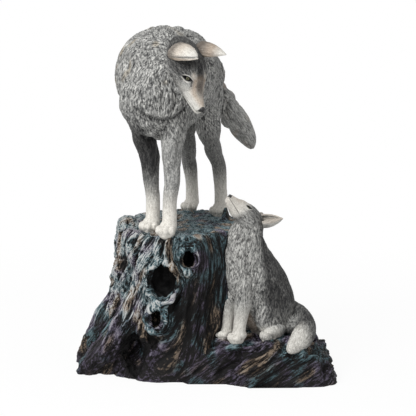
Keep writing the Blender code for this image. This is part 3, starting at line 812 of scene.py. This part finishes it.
def thinned(piece, most):
    # Fewer faces where the surface is calm
    count = sum(len(p.vertices) - 2 for p in piece.data.polygons)
    if count > most:
        thin = piece.modifiers.new("thin", "DECIMATE")
        thin.ratio = most / count
        apply(piece)
    return piece


def halved(piece, name, place, way):
    # The piece cut in two closed pieces that meet in a flat face
    bpy.ops.object.select_all(action="DESELECT")
    bpy.context.view_layer.objects.active = piece
    piece.select_set(True)
    bpy.ops.object.duplicate()
    other = bpy.context.object
    other.name = name
    for half, front in ((piece, False), (other, True)):
        bpy.ops.object.select_all(action="DESELECT")
        bpy.context.view_layer.objects.active = half
        half.select_set(True)
        bpy.ops.object.mode_set(mode="EDIT")
        bpy.ops.mesh.select_all(action="SELECT")
        gone = dict(clear_outer=front, clear_inner=not front)
        bpy.ops.mesh.bisect(plane_co=place, plane_no=way, use_fill=True, **gone)
        bpy.ops.mesh.mark_sharp()
        bpy.ops.object.mode_set(mode="OBJECT")
        half.select_set(False)
    return [piece, other]


def hollows(piece, rounds):
    # How deep in mm each point lies in a hollow of its surroundings; below 0 on ridges
    co, no = corners(piece)
    edges = np.empty(2 * len(piece.data.edges), int)
    piece.data.edges.foreach_get("vertices", edges)
    a, b = edges.reshape(-1, 2).T
    count = len(co)
    share = 0.5 / (np.bincount(a, minlength=count) + np.bincount(b, minlength=count))[:, None]
    calm = co
    for _ in range(rounds):
        both = [np.bincount(a, calm[b, i], count) + np.bincount(b, calm[a, i], count) for i in range(3)]
        calm = 0.5 * calm + share * np.column_stack(both)
    return ((calm - co) * no).sum(axis=1)


def coatOver(piece, ways, count, long, wide, high, hair):
    # Locks and hairs raised on the piece: where its points end up, and how raised and how bright each is
    co, no = corners(piece)
    relief, tone = locks(co, no, ways, count, long, wide, high)
    fibre = streaked(co, ways, rng.normal(size=len(co)), 0.8, 4)
    strand = np.clip(relief / (high + 0.05) + 0.10 * fibre, 0, 1)
    putCorners(piece, co + no * (relief + hair * fibre - 0.4 * high)[:, None])
    return strand, tone


def near(points, centre, sizes):
    return np.exp(-(((points - np.array(centre)) / np.array(sizes)) ** 2).sum(axis=1))


def line(points, a, b, radius):
    # 1 on the line from a to b, 0 beyond the radius
    a, b = np.array(a, float), np.array(b, float)
    share = np.clip((points - a) @ (b - a) / ((b - a) @ (b - a)), 0, 1)
    away = np.linalg.norm(points - a - share[:, None] * (b - a), axis=1)
    return smoothStep(radius, 0.45 * radius, away)


# Wolf's body
clean("wolf body")
wolfBody = wolfBodyClay().fused("wolfBody", 0.52, 5)
co, no = corners(wolfBody)
putCorners(wolfBody, co + no * broadLocks(co, w["standsAt"], w["height"])[:, None])
co, no = corners(wolfBody)
f, l, u = wolf.local(co).T / wolfUnit
legs = smoothStep(74, 60, u)
feet = smoothStep(16, 6, u)
tail = smoothStep(-64, -69, f) * smoothStep(112, 104, u) * smoothStep(42, 48, u)
legs, feet = legs * (1 - tail), feet * (1 - tail)
tailWay = np.array(wolf.way(-23, 31, -58).normalized())
fromHead = co - np.array(wolfHead.origin)
farness = np.linalg.norm(fromHead, axis=1)[:, None]
ways = np.array((0, 0, -0.8)) - np.array(wolf.forward) * (0.65 - 0.5 * legs)[:, None]
ways = ways + 1.5 * np.exp(-((farness / 32.0) ** 2)) * fromHead / farness
ways = mix(ways, tailWay, tail)
ways = laidFlat(ways, no)
wander = softNoise(co, 20.0, 4.0) * 0.9 * (1 - legs) * (1 - tail)
ways = laidFlat(ways + np.cross(no, ways) * wander[:, None], no)
long = 5.0 - 1.6 * legs - 1.2 * feet + 1.5 * tail
wide = 0.85 - 0.25 * legs - 0.1 * feet
high = 0.95 - 0.62 * legs - 0.2 * feet - 0.45 * tail
fold = [
    (-52.0, -55.9, 212.0), (-47.6, -56.4, 207.6), (-41.7, -56.4, 205.0), (-34.3, -53.5, 203.3),
    (-27.7, -49.0, 203.3), (-21.0, -47.2, 206.9), (-16.6, -42.9, 210.3),
]  # where the ruff ends over the chest
crease, lip = np.zeros(len(co)), np.zeros(len(co))
for a, b in zip(fold, fold[1:]):
    crease = np.maximum(crease, line(co, a, b, 2.6))
    lip = np.maximum(lip, line(co - (0, 0, 4.2), a, b, 4.5))
putCorners(wolfBody, co + no * (1.0 * lip - 1.1 * crease)[:, None])
strand, tone = coatOver(wolfBody, ways, 36000, long, wide, high, 0.03)
# Darker in the hollows: partly the painter's dark wash, partly painted shade.
washAndShade = smoothStep(0.04, 0.40, hollows(wolfBody, 14))
# The crease under the ruff's edge is painted darker too, as a painted shadow.
strand = np.clip(strand - 0.35 * washAndShade - 0.12 * crease, 0, 1)
patches = softNoise(co, 22.0, 3.0)
# Painted shade darkens the back, the hind body and the chest; the mask on the wolf's right foreleg and the
# patches are the coat's own darker paint.
shadedBack = smoothStep(28, -12, f) * smoothStep(84, 120, u) * (1 - tail)
chest = smoothStep(98, 82, u) * smoothStep(52, 66, u) * smoothStep(-10, 20, f)
outerLeg = smoothStep(30, 52, u) * smoothStep(88, 72, u) * smoothStep(10, 25, f) * smoothStep(-2, -8, l)
shade = 0.30 * shadedBack + 0.15 * chest + 0.70 * outerLeg
shade = shade + 0.20 * smoothStep(0.1, 0.6, patches) * (1 - legs) * (1 - tail)
fore = smoothStep(0, 15, f)
# The crease under the ruff's edge is painted darker here as well, as a painted shadow.
dark = np.clip(shade + 0.22 * crease + 0.46 * legs * (1 - fore * smoothStep(-8, 2, l)), 0, 1)
pale = smoothStep(40 - 4 * fore, 10, u + 3 * patches) * (1 - 0.55 * washAndShade)
gold = smoothStep(0.25, 0.6, softNoise(co, 10.0, 9.0)) * smoothStep(20, 45, f) * smoothStep(90, 110, u) * 0.7
calm = np.maximum(0.80 * legs, 0.55 * tail)
tanned = 0.35 * tail * smoothStep(0.0, 0.5, softNoise(co, 9.0, 2.0))
points, _ = corners(wolfBody)
flow = np.where((tail > 0.5)[:, None], drawnOut(points, tailWay, 5.0), drawnOut(points, (0, 0, 1), 3.2))
wolfPaints = dict(
    strand=strand, calm=calm, tone=tone, gold=gold, dark=dark * (1 - pale), tan=tanned, pale=pale,
    black=0 * u, flow=flow,
)
thinned(wolfBody, 330000)
wolfHalves = halved(wolfBody, "wolfFront", (wolf.at(8, 0, 0) + shift) * mm, wolf.forward)
paintAll(wolfHalves, points, wolfPaints)

# Cub's body
clean("cub body")
cubBody = cubBodyClay().fused("cubBody", 0.44, 3)
co, no = corners(cubBody)
putCorners(cubBody, co + no * (0.6 * broadLocks(co, c["sitsAt"], c["height"]))[:, None])
co, no = corners(cubBody)
f, l, u = cub.local(co).T / cubUnit
feet = smoothStep(12, 5, u) * (1 - smoothStep(20, 26, l))
legs = smoothStep(34, 24, u) * smoothStep(6, 12, f)
tail = np.clip(smoothStep(21, 26, l) + smoothStep(-27, -31, f) * smoothStep(26, 20, u), 0, 1)
tailWay = np.array(cub.way(18, 20, -16).normalized())
fromHead = co - np.array(cubHead.origin)
farness = np.linalg.norm(fromHead, axis=1)[:, None]
ways = np.array((0, 0, -1.0)) - 0.25 * np.array(cub.forward)
ways = ways + 0.8 * np.exp(-((farness / 24.0) ** 2)) * fromHead / farness
ways = laidFlat(mix(ways, tailWay, tail), no)
wander = softNoise(co, 14.0, 4.0) * 0.9 * (1 - legs)
ways = laidFlat(ways + np.cross(no, ways) * wander[:, None], no)
calm = np.maximum(legs, feet)
hindPaw = smoothStep(10.5, 7, np.linalg.norm(np.column_stack([f + 3, np.abs(l) - 18, u - 3]), axis=1))
feet = feet * np.maximum(smoothStep(8, 12, f), 0.75 * hindPaw)
strand, tone = coatOver(cubBody, ways, 24000, 4.0 - 1.4 * calm, 0.80 - 0.25 * calm, 0.95 - 0.70 * calm, 0.02)
# Darker in the hollows: partly the painter's dark wash, partly painted shade.
washAndShade = smoothStep(0.03, 0.30, hollows(cubBody, 16))
strand = np.clip(strand - 0.35 * washAndShade, 0, 1)
belly = smoothStep(36, 26, u) * smoothStep(-4, 2, f) * smoothStep(16, 8, f) * smoothStep(9, 5, np.abs(l))
pale = np.maximum(0.75 * legs * smoothStep(36, 8, u), feet * 0.9)
pale = np.maximum(0.05 * smoothStep(4, 14, f) * smoothStep(20, 36, u), pale)
tip = smoothStep(-30, -15, f) * smoothStep(24, 30, l)
pale = np.maximum(pale, 0.62 * tip) * (1 - 0.6 * washAndShade)
# Darker behind the forelegs and above the feet: partly the cub's darker coat, partly painted shade behind the
# foreleg and over the haunch. The tail, but for its tip, is darker coat, and the whole coat a little darker.
dark = smoothStep(7, -4, f) * smoothStep(6, 26, u) * 0.88 * (1 - tail) + 0.75 * tail * (1 - tip) + 0.10
patches = softNoise(co, 9.0, 6.0)
dark = np.clip(dark + 0.25 * patches * (dark > 0.05), 0, 1)
points, _ = corners(cubBody)
flow = np.where((tail > 0.5)[:, None], drawnOut(points, tailWay, 4.0), drawnOut(points, (0.2, 0.1, 1), 3.2))
cubPaints = dict(
    strand=strand, calm=0.8 * calm, tone=tone, gold=0 * u, dark=dark, tan=0.5 * belly, pale=pale,
    black=0 * u, flow=flow,
)
thinned(cubBody, 165000)
paintAll([cubBody], points, cubPaints)
coat = coatFinish()

# Faces: where the eyes are, in 52nds of a head's length as ahead, aside and up, and the way their slits run
wolfEyes = dict(at=(12.9, 9.0, 5.6), slit=(5.6, -4.9, 1.5), long=3.5, tall=1.25, ball=2.5)
cubEyes = dict(at=(13.0, 9.8, 4.0), slit=(6.8, -3.1, -1.6), long=3.2, tall=1.45, ball=2.4)
eyeOut = np.array((0.43, 0.68, 0.59))


def eyeAxes(eyes):
    along = np.array(eyes["slit"]) - eyeOut * (np.array(eyes["slit"]) @ eyeOut)
    along /= np.linalg.norm(along)
    down = np.cross(eyeOut, along)
    return along, down if down[2] < 0 else -down


def coatHead(piece, clay, head, unit, eyes, young, most):
    co, no = corners(piece)
    n, l, u = head.local(co).T / unit
    side = np.abs(l)
    spot = np.column_stack([n, side, u])
    ways = combed(clay, co, no)
    out = np.sign(l)[:, None] * np.array(head.left) - 0.4 * np.array(head.up)
    ways = laidFlat(ways + out * (0.8 * smoothStep(4, 12, side) * smoothStep(14, 6, n))[:, None], no)
    snout = smoothStep(9, 16, n)
    high = (0.75 - 0.68 * snout) * unit
    along, down = eyeAxes(eyes)
    away = spot - np.array(eyes["at"])
    a, b, off = away @ along / eyes["long"], away @ down / eyes["tall"], away @ eyeOut / 4.0
    ring = np.sqrt(a * a + b * b / (1.05 - 0.6 * np.minimum(a * a, 1.0)) + off * off)
    calm = smoothStep(1.2, 2.6, ring)
    relief, tone = locks(co, no, ways, 7500, (4.6 - 2.6 * snout) * unit, (0.75 - 0.25 * snout) * unit, high)
    fibre = streaked(co, ways, rng.normal(size=len(co)), 0.6, 5)
    strand = np.clip(relief / (high + 0.05) + 0.08 * fibre, 0, 1)
    strand = np.clip(mix(strand, 0.62 + 0.13 * fibre, snout), 0, 1)
    mouthAt = -6.0 - 0.17 * (33.0 - n)
    mouth = np.exp(-(((u - mouthAt) / 0.38) ** 2)) * smoothStep(13, 16, n) * smoothStep(1.0, 3.0, side)
    lid = np.exp(-(((ring - 1.35) / 0.28) ** 2))
    hollow = smoothStep(1.15, 0.8, ring)
    stop = near(spot, (17.5, 6.5, 4.6), (3.5, 2.2, 2.4))
    move = (relief - 0.4 * high) * calm + 0.02 * fibre - 0.6 * mouth * unit
    move += (0.35 * lid - 1.6 * hollow - 0.5 * stop) * unit
    putCorners(piece, co + no * move[:, None])
    inner = np.array(eyes["at"]) + along * eyes["long"] * 0.95
    tear = line(spot, inner, inner + (2.6, -0.6, -3.4), 0.9)
    black = np.maximum(smoothStep(1.42, 1.12, ring), np.maximum(mouth * 0.65, 0.8 * tear))
    black = np.maximum(black, smoothStep(33.4, 34.2, n) * smoothStep(-5.4, -4.4, u))
    upper = np.exp(-(((ring - 1.62) / 0.17) ** 2)) * smoothStep(0.1, -0.4, b)
    upper = upper * smoothStep(1.5, 0.9, np.abs(a))
    lower = np.exp(-(((ring - 1.85) / 0.34) ** 2)) * smoothStep(0.2, 0.8, b)
    lower = lower * smoothStep(1.3, 0.6, np.abs(a + 0.2))
    middle = l - 1.2 * smoothStep(16, 6, n)
    stripe = smoothStep(4.6, 2.2, np.abs(middle)) * smoothStep(22, 15, n) * smoothStep(1, 5, u)
    crown = smoothStep(14, 6, n) * smoothStep(-1.0, 5.0, u + 0.25 * (side - 8))
    lash = np.exp(-(((ring - 2.15) / 0.5) ** 2)) * smoothStep(0.0, -0.8, b) * 0.6
    dark = np.maximum(np.maximum(crown * 0.97, stripe * 0.97), lash)
    dark = np.maximum(dark, 0.70 * near(spot, (5, 14, 0), (5.5, 6, 5.5)))
    ridge = smoothStep(12, 18, n) * smoothStep(4.4, 2.0, side)
    ridge = ridge * smoothStep(0.0, 2.0, u) * smoothStep(35, 31, n)
    bridge = smoothStep(12, 17, n) * smoothStep(7.8, 4.2, side) * smoothStep(-3.0, 0.5, u)
    cheek = smoothStep(-1.0, -7.0, u + 0.15 * n) * smoothStep(7, 16, n)
    muzzle = smoothStep(12, 21, n + 0.4 * (side - 7)) * smoothStep(4.0, -1.0, u)
    pale = np.maximum(0.45 * cheek, 0.60 * muzzle)
    pale = np.maximum(pale, 0.22 * near(spot, (12, 12, -2), (4, 4, 3.5)))
    brow = near(spot, (13.0, 5.4, 8.6), (2.0, 1.5, 3.0))
    if young:
        dark = dark * 0.62
        pale = np.maximum(pale, 0.60 * smoothStep(8, 18, n))
        bridge, ridge = 0.3 * bridge, 0.3 * ridge
    pale = np.maximum(pale * (1 - 0.8 * dark), np.maximum(0.5 * brow, 0.9 * np.maximum(upper, lower)))
    dark = np.maximum(np.maximum(dark, 0.88 * ridge), (0.42 - 0.2 * young) * smoothStep(18, 10, n))
    tanned = np.maximum(0.62 * bridge * (1 - 0.7 * ridge), 0.35 * brow) + 0.16 * young * smoothStep(12, 22, n)
    # Darker in the hollows: partly the painter's dark wash, partly painted shade.
    washAndShade = smoothStep(0.02, 0.25, hollows(piece, 14))
    strand = np.clip(strand - 0.35 * washAndShade, 0, 1)
    pale = pale * (1 - 0.5 * washAndShade)
    soft = np.maximum(0.9 * snout, 0.15)
    points, _ = corners(piece)
    flow = drawnOut(points, head.forward, 3.2)
    given = dict(
        strand=strand, calm=soft, tone=tone, gold=0 * u, dark=dark, tan=tanned, pale=pale, black=black,
        flow=flow,
    )
    thinned(piece, most)
    paintAll([piece], points, given)


def ballPiece(name, centre, radii, stand):
    # A smooth ball of these half sizes, laid along the head
    clay = Clay()
    clay.ball(stand, centre, radii)
    piece = clay.fused(name, 0.2, 4)
    return piece


def eyeFinish():
    f = Finish("eye", 0.12)
    ring = f.painted("gaze")
    body = f.blend(ring.between(0.26, 0.32), (0.002, 0.002, 0.002), (0.11, 0.105, 0.045))
    body = f.blend(ring.between(0.42, 0.50), body, (0.004, 0.004, 0.003))
    f.colour(body)
    return f.material


def noseFinish():
    f = Finish("nose", 0.38)
    f.colour(f.blend(f.speckle(2500.0), (0.004, 0.004, 0.004), (0.014, 0.013, 0.013)))
    f.bump(f.speckle(2500.0), 0.25, 0.0003)
    return f.material


clean("heads")
eyeShine, noseShine = eyeFinish(), noseFinish()
small = []
for kind, head, length, fullness, voxel, eyes, young, most in (
    ("wolf", wolfHead, w["headLength"], 1.0, 0.34, wolfEyes, 0, 78000),
    ("cub", cubHead, c["headLength"], 0.85, 0.27, cubEyes, 1, 44000),
):
    clay = headClay(head, length, fullness, 1.18 if young else 0.96)
    unit = length / 52.0
    face = clay.fused(kind + "Face", voxel, 3)
    coatHead(face, clay, head, unit, eyes, young, most)
    for sign, name in ((-1, "Right"), (1, "Left")):
        centre = np.array(eyes["at"]) - eyeOut * (eyes["ball"] + 0.1)
        centre = [n * unit for n in (centre[0], sign * centre[1], centre[2])]
        eye = ballPiece(f"{kind}Eye{name}", centre, (eyes["ball"] * unit,) * 3, head)
        gaze = np.array(head.way(eyeOut[0] + 0.1, sign * (eyeOut[1] + 0.05), eyeOut[2]))
        co, _ = corners(eye)
        away = (co - np.array(head.at(*centre))) / (eyes["ball"] * unit)
        turn = away @ gaze / np.linalg.norm(gaze)
        paint(eye, "gaze", np.sqrt(np.clip(1 - turn**2, 0, 1)) + (turn < 0))
        small.append((eye, eyeShine))
    place, sizes = ([n * unit for n in three] for three in ((34.2, 0, -2.4), (2.2, 2.3, 1.9)))
    nose = ballPiece(kind + "Nose", place, sizes, head)
    co, no = corners(nose)
    at = head.local(co) / unit
    dents = near(np.column_stack([at[:, 0], np.abs(at[:, 1]), at[:, 2]]), (36.6, 1.3, -2.5), (1.0, 0.6, 0.7))
    putCorners(nose, co - no * (0.9 * unit * dents)[:, None])
    small.append((nose, noseShine))


def makeEars():
    unit = w["headLength"] / 52.0
    h = wolfHead
    plans = [
        ("wolfEarRight", h, (-9, -7.2, 6.5), h.way(0.70, -0.14, 0.70), h.way(-0.29, -0.25, 0.9),
         w["ear"], 10.0, unit),
        ("wolfEarLeft", h, (-10, 13, 7.5), h.way(0.64, 0.27, 0.65), h.way(-0.6, -0.2, 0.7),
         0.9 * w["ear"], 8.6, unit),
    ]
    unit, h = c["headLength"] / 34.0, cubHead
    for sign, name in ((-1, "cubEarRight"), (1, "cubEarLeft")):
        plans.append((name, h, (-7, sign * 7, 5.5), h.way(-0.45, sign * 0.45, 0.75),
                      h.way(-0.8, -sign * 0.3, -0.5), c["ear"], 7.3, unit))
    for name, h, base, axis, back, length, radius, unit in plans:
        grown = "wolf" in name
        start = [n * unit for n in base]
        ear = earObject(name, h, start, axis, back, length, radius * unit, 2.1 if grown else 1.8)
        skin(ear, 0.35, 2)
        co, no = corners(ear)
        flat = np.array(Vector(axis).normalized())
        along = (co - np.array(h.at(*start))) @ flat / length
        inner = smoothStep(-0.1, 0.35, -(no @ np.array(Vector(back).normalized())))
        ways = laidFlat(np.tile(flat, (len(co), 1)), no)
        fibre = streaked(co, ways, rng.normal(size=len(co)), 0.6, 8)
        putCorners(ear, co + no * (0.10 * fibre)[:, None])
        points, _ = corners(ear)
        base = smoothStep(0.42, 0.14, along)
        low = np.percentile(co[along > 0.35, 2], 1)
        rise = (co[:, 2] - low) / (co[:, 2].max() - low)
        # Painted shade on the ear's inner faces, strongest near its base.
        innerShade = smoothStep(0.75, 0.15, along) * inner
        if name == "wolfEarRight":
            # The thin dark band along the near ear's lower edge is a painted shadow under its rim.
            rim = smoothStep(0.10, 0.16, rise) * smoothStep(0.30, 0.20, rise) * smoothStep(1.0, 0.9, along)
            pale = 0.80 - 0.5 * base
            tanned = 0.62 * smoothStep(0.85, 0.15, along) + 0.4 * smoothStep(0.16, 0.10, rise)
            dark = np.maximum(0.80 * base, np.maximum(0.6 * innerShade, 0.85 * rim))
        elif name == "wolfEarLeft":
            pale = smoothStep(0.35, 0.85, along) * 0.75
            tanned, dark = 0.75 * smoothStep(0.9, 0.45, along), smoothStep(0.60, 0.15, along) * 0.95
        else:
            pale, tanned, dark = 0.35 + 0.25 * inner, 0.40 * inner, 0.6 * base * (1 - inner) + 0.35 * innerShade
        dark = np.clip(dark, 0, 1)
        pale = pale * (1 - dark)
        tanned = tanned * (1 - 0.8 * dark)
        none = 0 * along
        given = dict(
            strand=np.clip(0.6 + 0.16 * fibre, 0, 1), calm=0.8 + none, tone=0.5 + none, gold=none, dark=dark,
            tan=tanned, pale=pale, black=none, flow=drawnOut(points, flat, 4.0),
        )
        thinned(ear, 15000 if grown else 9000)
        paintAll([ear], points, given)


makeEars()

# Wood: the same ridges as the casting's own shape, then finer ones that run round the knotholes


def streaks(across, depth, along, pitch):
    sway = 0.5 * softNoise(np.column_stack([across, depth, 0.8 * along]), 1000.0 / 28.0)
    places = np.column_stack([across / pitch + sway, depth / pitch + sway, along / (6 * pitch)])
    return 1.0 - 2.6 * np.abs(softNoise(places, 1.0))


def carved(points):
    x, y, z = points.T
    across, up = (x - t["middle"][0]) / t["width"], z / t["height"]
    fan = -0.70 * smoothStep(0.25, -0.55, across) * (z - 0.5 * t["height"])
    trunk = streaks(x + fan, y, z, 10.0)
    rock = streaks(0.82 * z - 0.57 * x, 0.6 * y, 0.82 * x + 0.57 * z, 8.0)
    share = smoothStep(0.17, 0.33, across) * smoothStep(1.25 * t["ledge"], t["ledge"], z)
    ridge = trunk + (rock - trunk) * share
    calm = 1.0 - 0.6 * np.maximum(smoothStep(0.94, 0.98, up), share * smoothStep(0.80, 0.95, z / t["ledge"]))
    lumps = 0.7 * softNoise(points, 1000.0 / 55.0)
    foot, lean, deep = 18.7, 0.672, 4.2
    ahead = (foot - x) * math.cos(lean) + z * math.sin(lean)
    seam = deep * smoothStep(-0.3 * deep, 1.2 * deep, ahead) * smoothStep(9 * deep, 2 * deep, ahead)
    seam = seam * smoothStep(1.25 * t["ledge"], t["ledge"], z) * share * smoothStep(-27.9, -43.4, y)
    return 3.2 * (calm * (ridge + lumps) - 0.35) - seam, ridge


def trunkFlow(points):
    # Places in mm with the grain straightened: lines that run round the knotholes and out over the left roots
    x, y, z = points.T
    across = (x - t["middle"][0]) / t["width"]
    run = x - 0.70 * smoothStep(0.25, -0.55, across) * (z - 0.5 * t["height"])
    front = smoothStep(-10, -30, y)
    for kx, share, width, tall in t["knots"]:
        dx, dz = x - kx, (z - share * t["height"]) * width / tall
        reach = (0.60 * width) ** 2
        run = run - front * dx * reach / np.maximum(dx * dx + dz * dz, reach)
    return np.column_stack([run, y, z])


def rockFlow(points):
    x, y, z = points.T
    return np.column_stack([0.82 * z - 0.57 * x, 0.6 * y, 0.82 * x + 0.57 * z])


def carve(piece, flowOf, most):
    co, no = corners(piece)
    deep, ridge = carved(co)
    putCorners(piece, co + no * deep[:, None])
    start = co
    co, no = corners(piece)
    flow = flowOf(start)
    middle = 1.0 - 2.4 * np.abs(softNoise(flow / (3.6, 3.6, 26.0), 1.0))
    fine = 1.0 - 2.4 * np.abs(softNoise(flow / (1.9, 1.9, 15.0), 1.0, 5.0))
    flat = smoothStep(0.6, 0.9, no[:, 2]) * smoothStep(108, 114, co[:, 2])
    putCorners(piece, co + no * ((0.80 * middle + 0.42 * fine) * (1 - 0.4 * flat) - 0.35)[:, None])
    strand = 0.42 + 0.14 * ridge + 0.24 * middle + 0.18 * fine
    x, y, z = start.T
    broad = softNoise(start, 16.0, 1.0)
    teal = smoothStep(-0.25, 0.10, broad + 0.5 * (z / 118.0 - 0.50))
    sand = smoothStep(0.10, 0.38, softNoise(flow / (1, 1, 3), 9.0, 5.0))
    # The brush amount is partly the dry brush on the ridges and partly painted light from the upper left:
    # faces turned up and to the left, the trunk's left side, its flat top, the rock's top and the top rim
    # take more pale strokes.
    lit = np.clip(0.55 - 0.40 * no[:, 0] + 0.40 * no[:, 2] - 0.15 * no[:, 1], 0, 1.2)
    leftSide = smoothStep(-8, -50, x)
    rockTop = smoothStep(-10, 10, x) * smoothStep(15, 30, z) * smoothStep(42, 38, z)
    rockTop = rockTop * smoothStep(0.0, 0.7, no[:, 2])
    band = 0.45 + 0.75 * smoothStep(-0.4, 0.7, ridge)
    brushAndLight = (0.26 + 0.95 * leftSide * smoothStep(12, 65, z)) * lit * band + 0.50 * flat + 0.4 * rockTop
    brushAndLight = np.clip(brushAndLight, 0, 1)
    brushAndLight = brushAndLight * (0.60 + 0.6 * smoothStep(-0.4, 0.3, softNoise(start, 9.0, 8.0)))
    brushAndLight = brushAndLight + 0.35 * smoothStep(100, 116, z) * smoothStep(-0.3, 0.2, softNoise(start, 6.0, 2.0))
    front = smoothStep(-20, -35, y)
    rims = np.zeros(len(x))
    # Painted shadow: a dark patch on the front at x -17 mm, 58 mm up, and dark insides of the knotholes and
    # the cave, where shade falls and the dry brush does not reach; the small shallow knothole is darkened
    # only a little.
    shadowAndUnbrushed = 0.8 * front * np.exp(-(((x + 17) / 9) ** 2) - ((z - 58) / 13) ** 2)
    for kx, share, width, tall in t["knots"]:
        rim = np.sqrt(((x - kx) / (0.5 * width)) ** 2 + ((z - share * t["height"]) / (0.5 * tall)) ** 2)
        rims = np.maximum(rims, front * np.exp(-(((rim - 1.12) / 0.16) ** 2)))
        shadowAndUnbrushed = np.maximum(shadowAndUnbrushed, front * smoothStep(1.0, 0.80, rim) * (1.0 if width > 13.6 else 0.35))
    kx, up, width, tall, deep = t["cave"]
    rim = np.sqrt(((x - kx) / (0.5 * width)) ** 2 + ((z - up) / (0.5 * tall)) ** 2)
    shadowAndUnbrushed = np.maximum(shadowAndUnbrushed, front * smoothStep(1.15, 0.85, rim))
    # Darker in the hollows: partly the painter's dark wash, partly painted shade.
    washAndShade = smoothStep(0.05, 0.60, hollows(piece, 10))
    brushAndLight = mix(brushAndLight, 1.1, 0.9 * rims) * (1 - shadowAndUnbrushed) * (1 - 0.7 * washAndShade)
    strand = np.clip(strand - 0.6 * shadowAndUnbrushed, 0, 1)
    # Pale frost strokes, strongest on the trunk's upper left side as painted light from the upper left, and
    # on the knotholes' rims.
    frost = np.clip(np.maximum(0.8 * leftSide * smoothStep(25, 75, z) + 0.30, 0.75 * rims), 0, 1)
    points, _ = corners(piece)
    brushAndLight = np.clip(brushAndLight, 0, 1.1)
    flow = flow * (1, 1, 0.12)
    given = dict(strand=strand, teal=teal, sand=sand, brushAndLight=brushAndLight, frost=frost, flow=flow)
    thinned(piece, most)
    paintAll([piece], points, given)


clean("wood")
stump = makeTrunk(0.8)
carve(stump, trunkFlow, 199000)
ledge = makeLedge(0.62)
carve(ledge, rockFlow, 104000)
wood = woodFinish()
for p in (stump, ledge):
    cutFlat(p)
    p.data.materials.clear()
    p.data.materials.append(wood)
for p, shine in small:
    p.data.materials.clear()
    p.data.materials.append(shine)
total = 0
for p in [o for o in bpy.context.scene.objects if o.type == "MESH" and o.name != node]:
    if p.name.startswith("wolf"):
        co, _ = corners(p)
        co[:, 0] -= 1.6 * smoothStep(120, 190, co[:, 2])
        putCorners(p, co)
    if len(p.data.materials) == 0:
        p.data.materials.append(coat)
    p.data.shade_smooth()
    count = sum(len(q.vertices) - 2 for q in p.data.polygons)
    total += count
    print(p.name, count)
    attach(p, "root")
    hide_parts(node)
print("triangles in all", total)


# Floor, light and camera
def cameraShare(tree):
    # 1 where the camera, or a reflection or clear thing in its view, looks at this
    path = tree.nodes.new("ShaderNodeLightPath")
    share = Socket(tree, path.outputs["Is Camera Ray"])
    for name in ("Is Glossy Ray", "Is Transmission Ray"):
        share = share.maths("MAXIMUM", Socket(tree, path.outputs[name]))
    return share


def makeStage():
    bpy.ops.mesh.primitive_plane_add(size=12.0, location=(0, 0, -0.0002))
    floor = bpy.context.object
    floor.name = "floor"
    f = Finish("floor", 0.9)
    f.shader.inputs["Base Color"].default_value = (0.9, 0.9, 0.9, 1)
    white = f.tree.nodes.new("ShaderNodeEmission")
    both = f.tree.nodes.new("ShaderNodeMixShader")
    away = f.node("ShaderNodeVectorMath", {"operation": "LENGTH"}, out=1, Vector=f.place())
    f.tree.links.new((cameraShare(f.tree) * (away.between(0.15, 0.6) * 0.08 + 0.92)).out, both.inputs[0])
    f.tree.links.new(f.shader.outputs[0], both.inputs[1])
    f.tree.links.new(white.outputs[0], both.inputs[2])
    f.tree.links.new(both.outputs[0], f.tree.nodes["Material Output"].inputs["Surface"])
    floor.data.materials.append(f.material)


def makeCamera():
    cam = bpy.data.cameras.new("camera")
    cam.sensor_width = 36.0
    cam.lens = 36.0 * 1475.6 / 416
    cam.clip_end = 20
    rig = bpy.data.objects.new("camera", cam)
    bpy.context.scene.collection.objects.link(rig)
    rig.location = (Vector((0.0, -1150.0, 296.0)) + shift) * mm
    rig.rotation_euler = (math.radians(90 - 8.265), 0, 0)
    bpy.context.scene.camera = rig


makeStage()
makeCamera()
world = bpy.data.worlds.new("studio")
world.use_nodes = True
sky = world.node_tree.nodes["Background"]
share = cameraShare(world.node_tree)
world.node_tree.links.new((share * 0.55 + 0.45).out, sky.inputs["Strength"])
sky.inputs["Color"].default_value = (1, 1, 1, 1)
bpy.context.scene.world = world
bpy.context.scene.view_settings.view_transform = "Standard"
lamp = bpy.data.lights.new("key", "AREA")
lamp.energy = 16
lamp.size = 0.6
rig = bpy.data.objects.new("key", lamp)
bpy.context.scene.collection.objects.link(rig)
rig.location = (-0.5, -0.8, 1.1)
rig.rotation_euler = (Vector((0, 0, 0.13)) - rig.location).to_track_quat("-Z", "Y").to_euler()
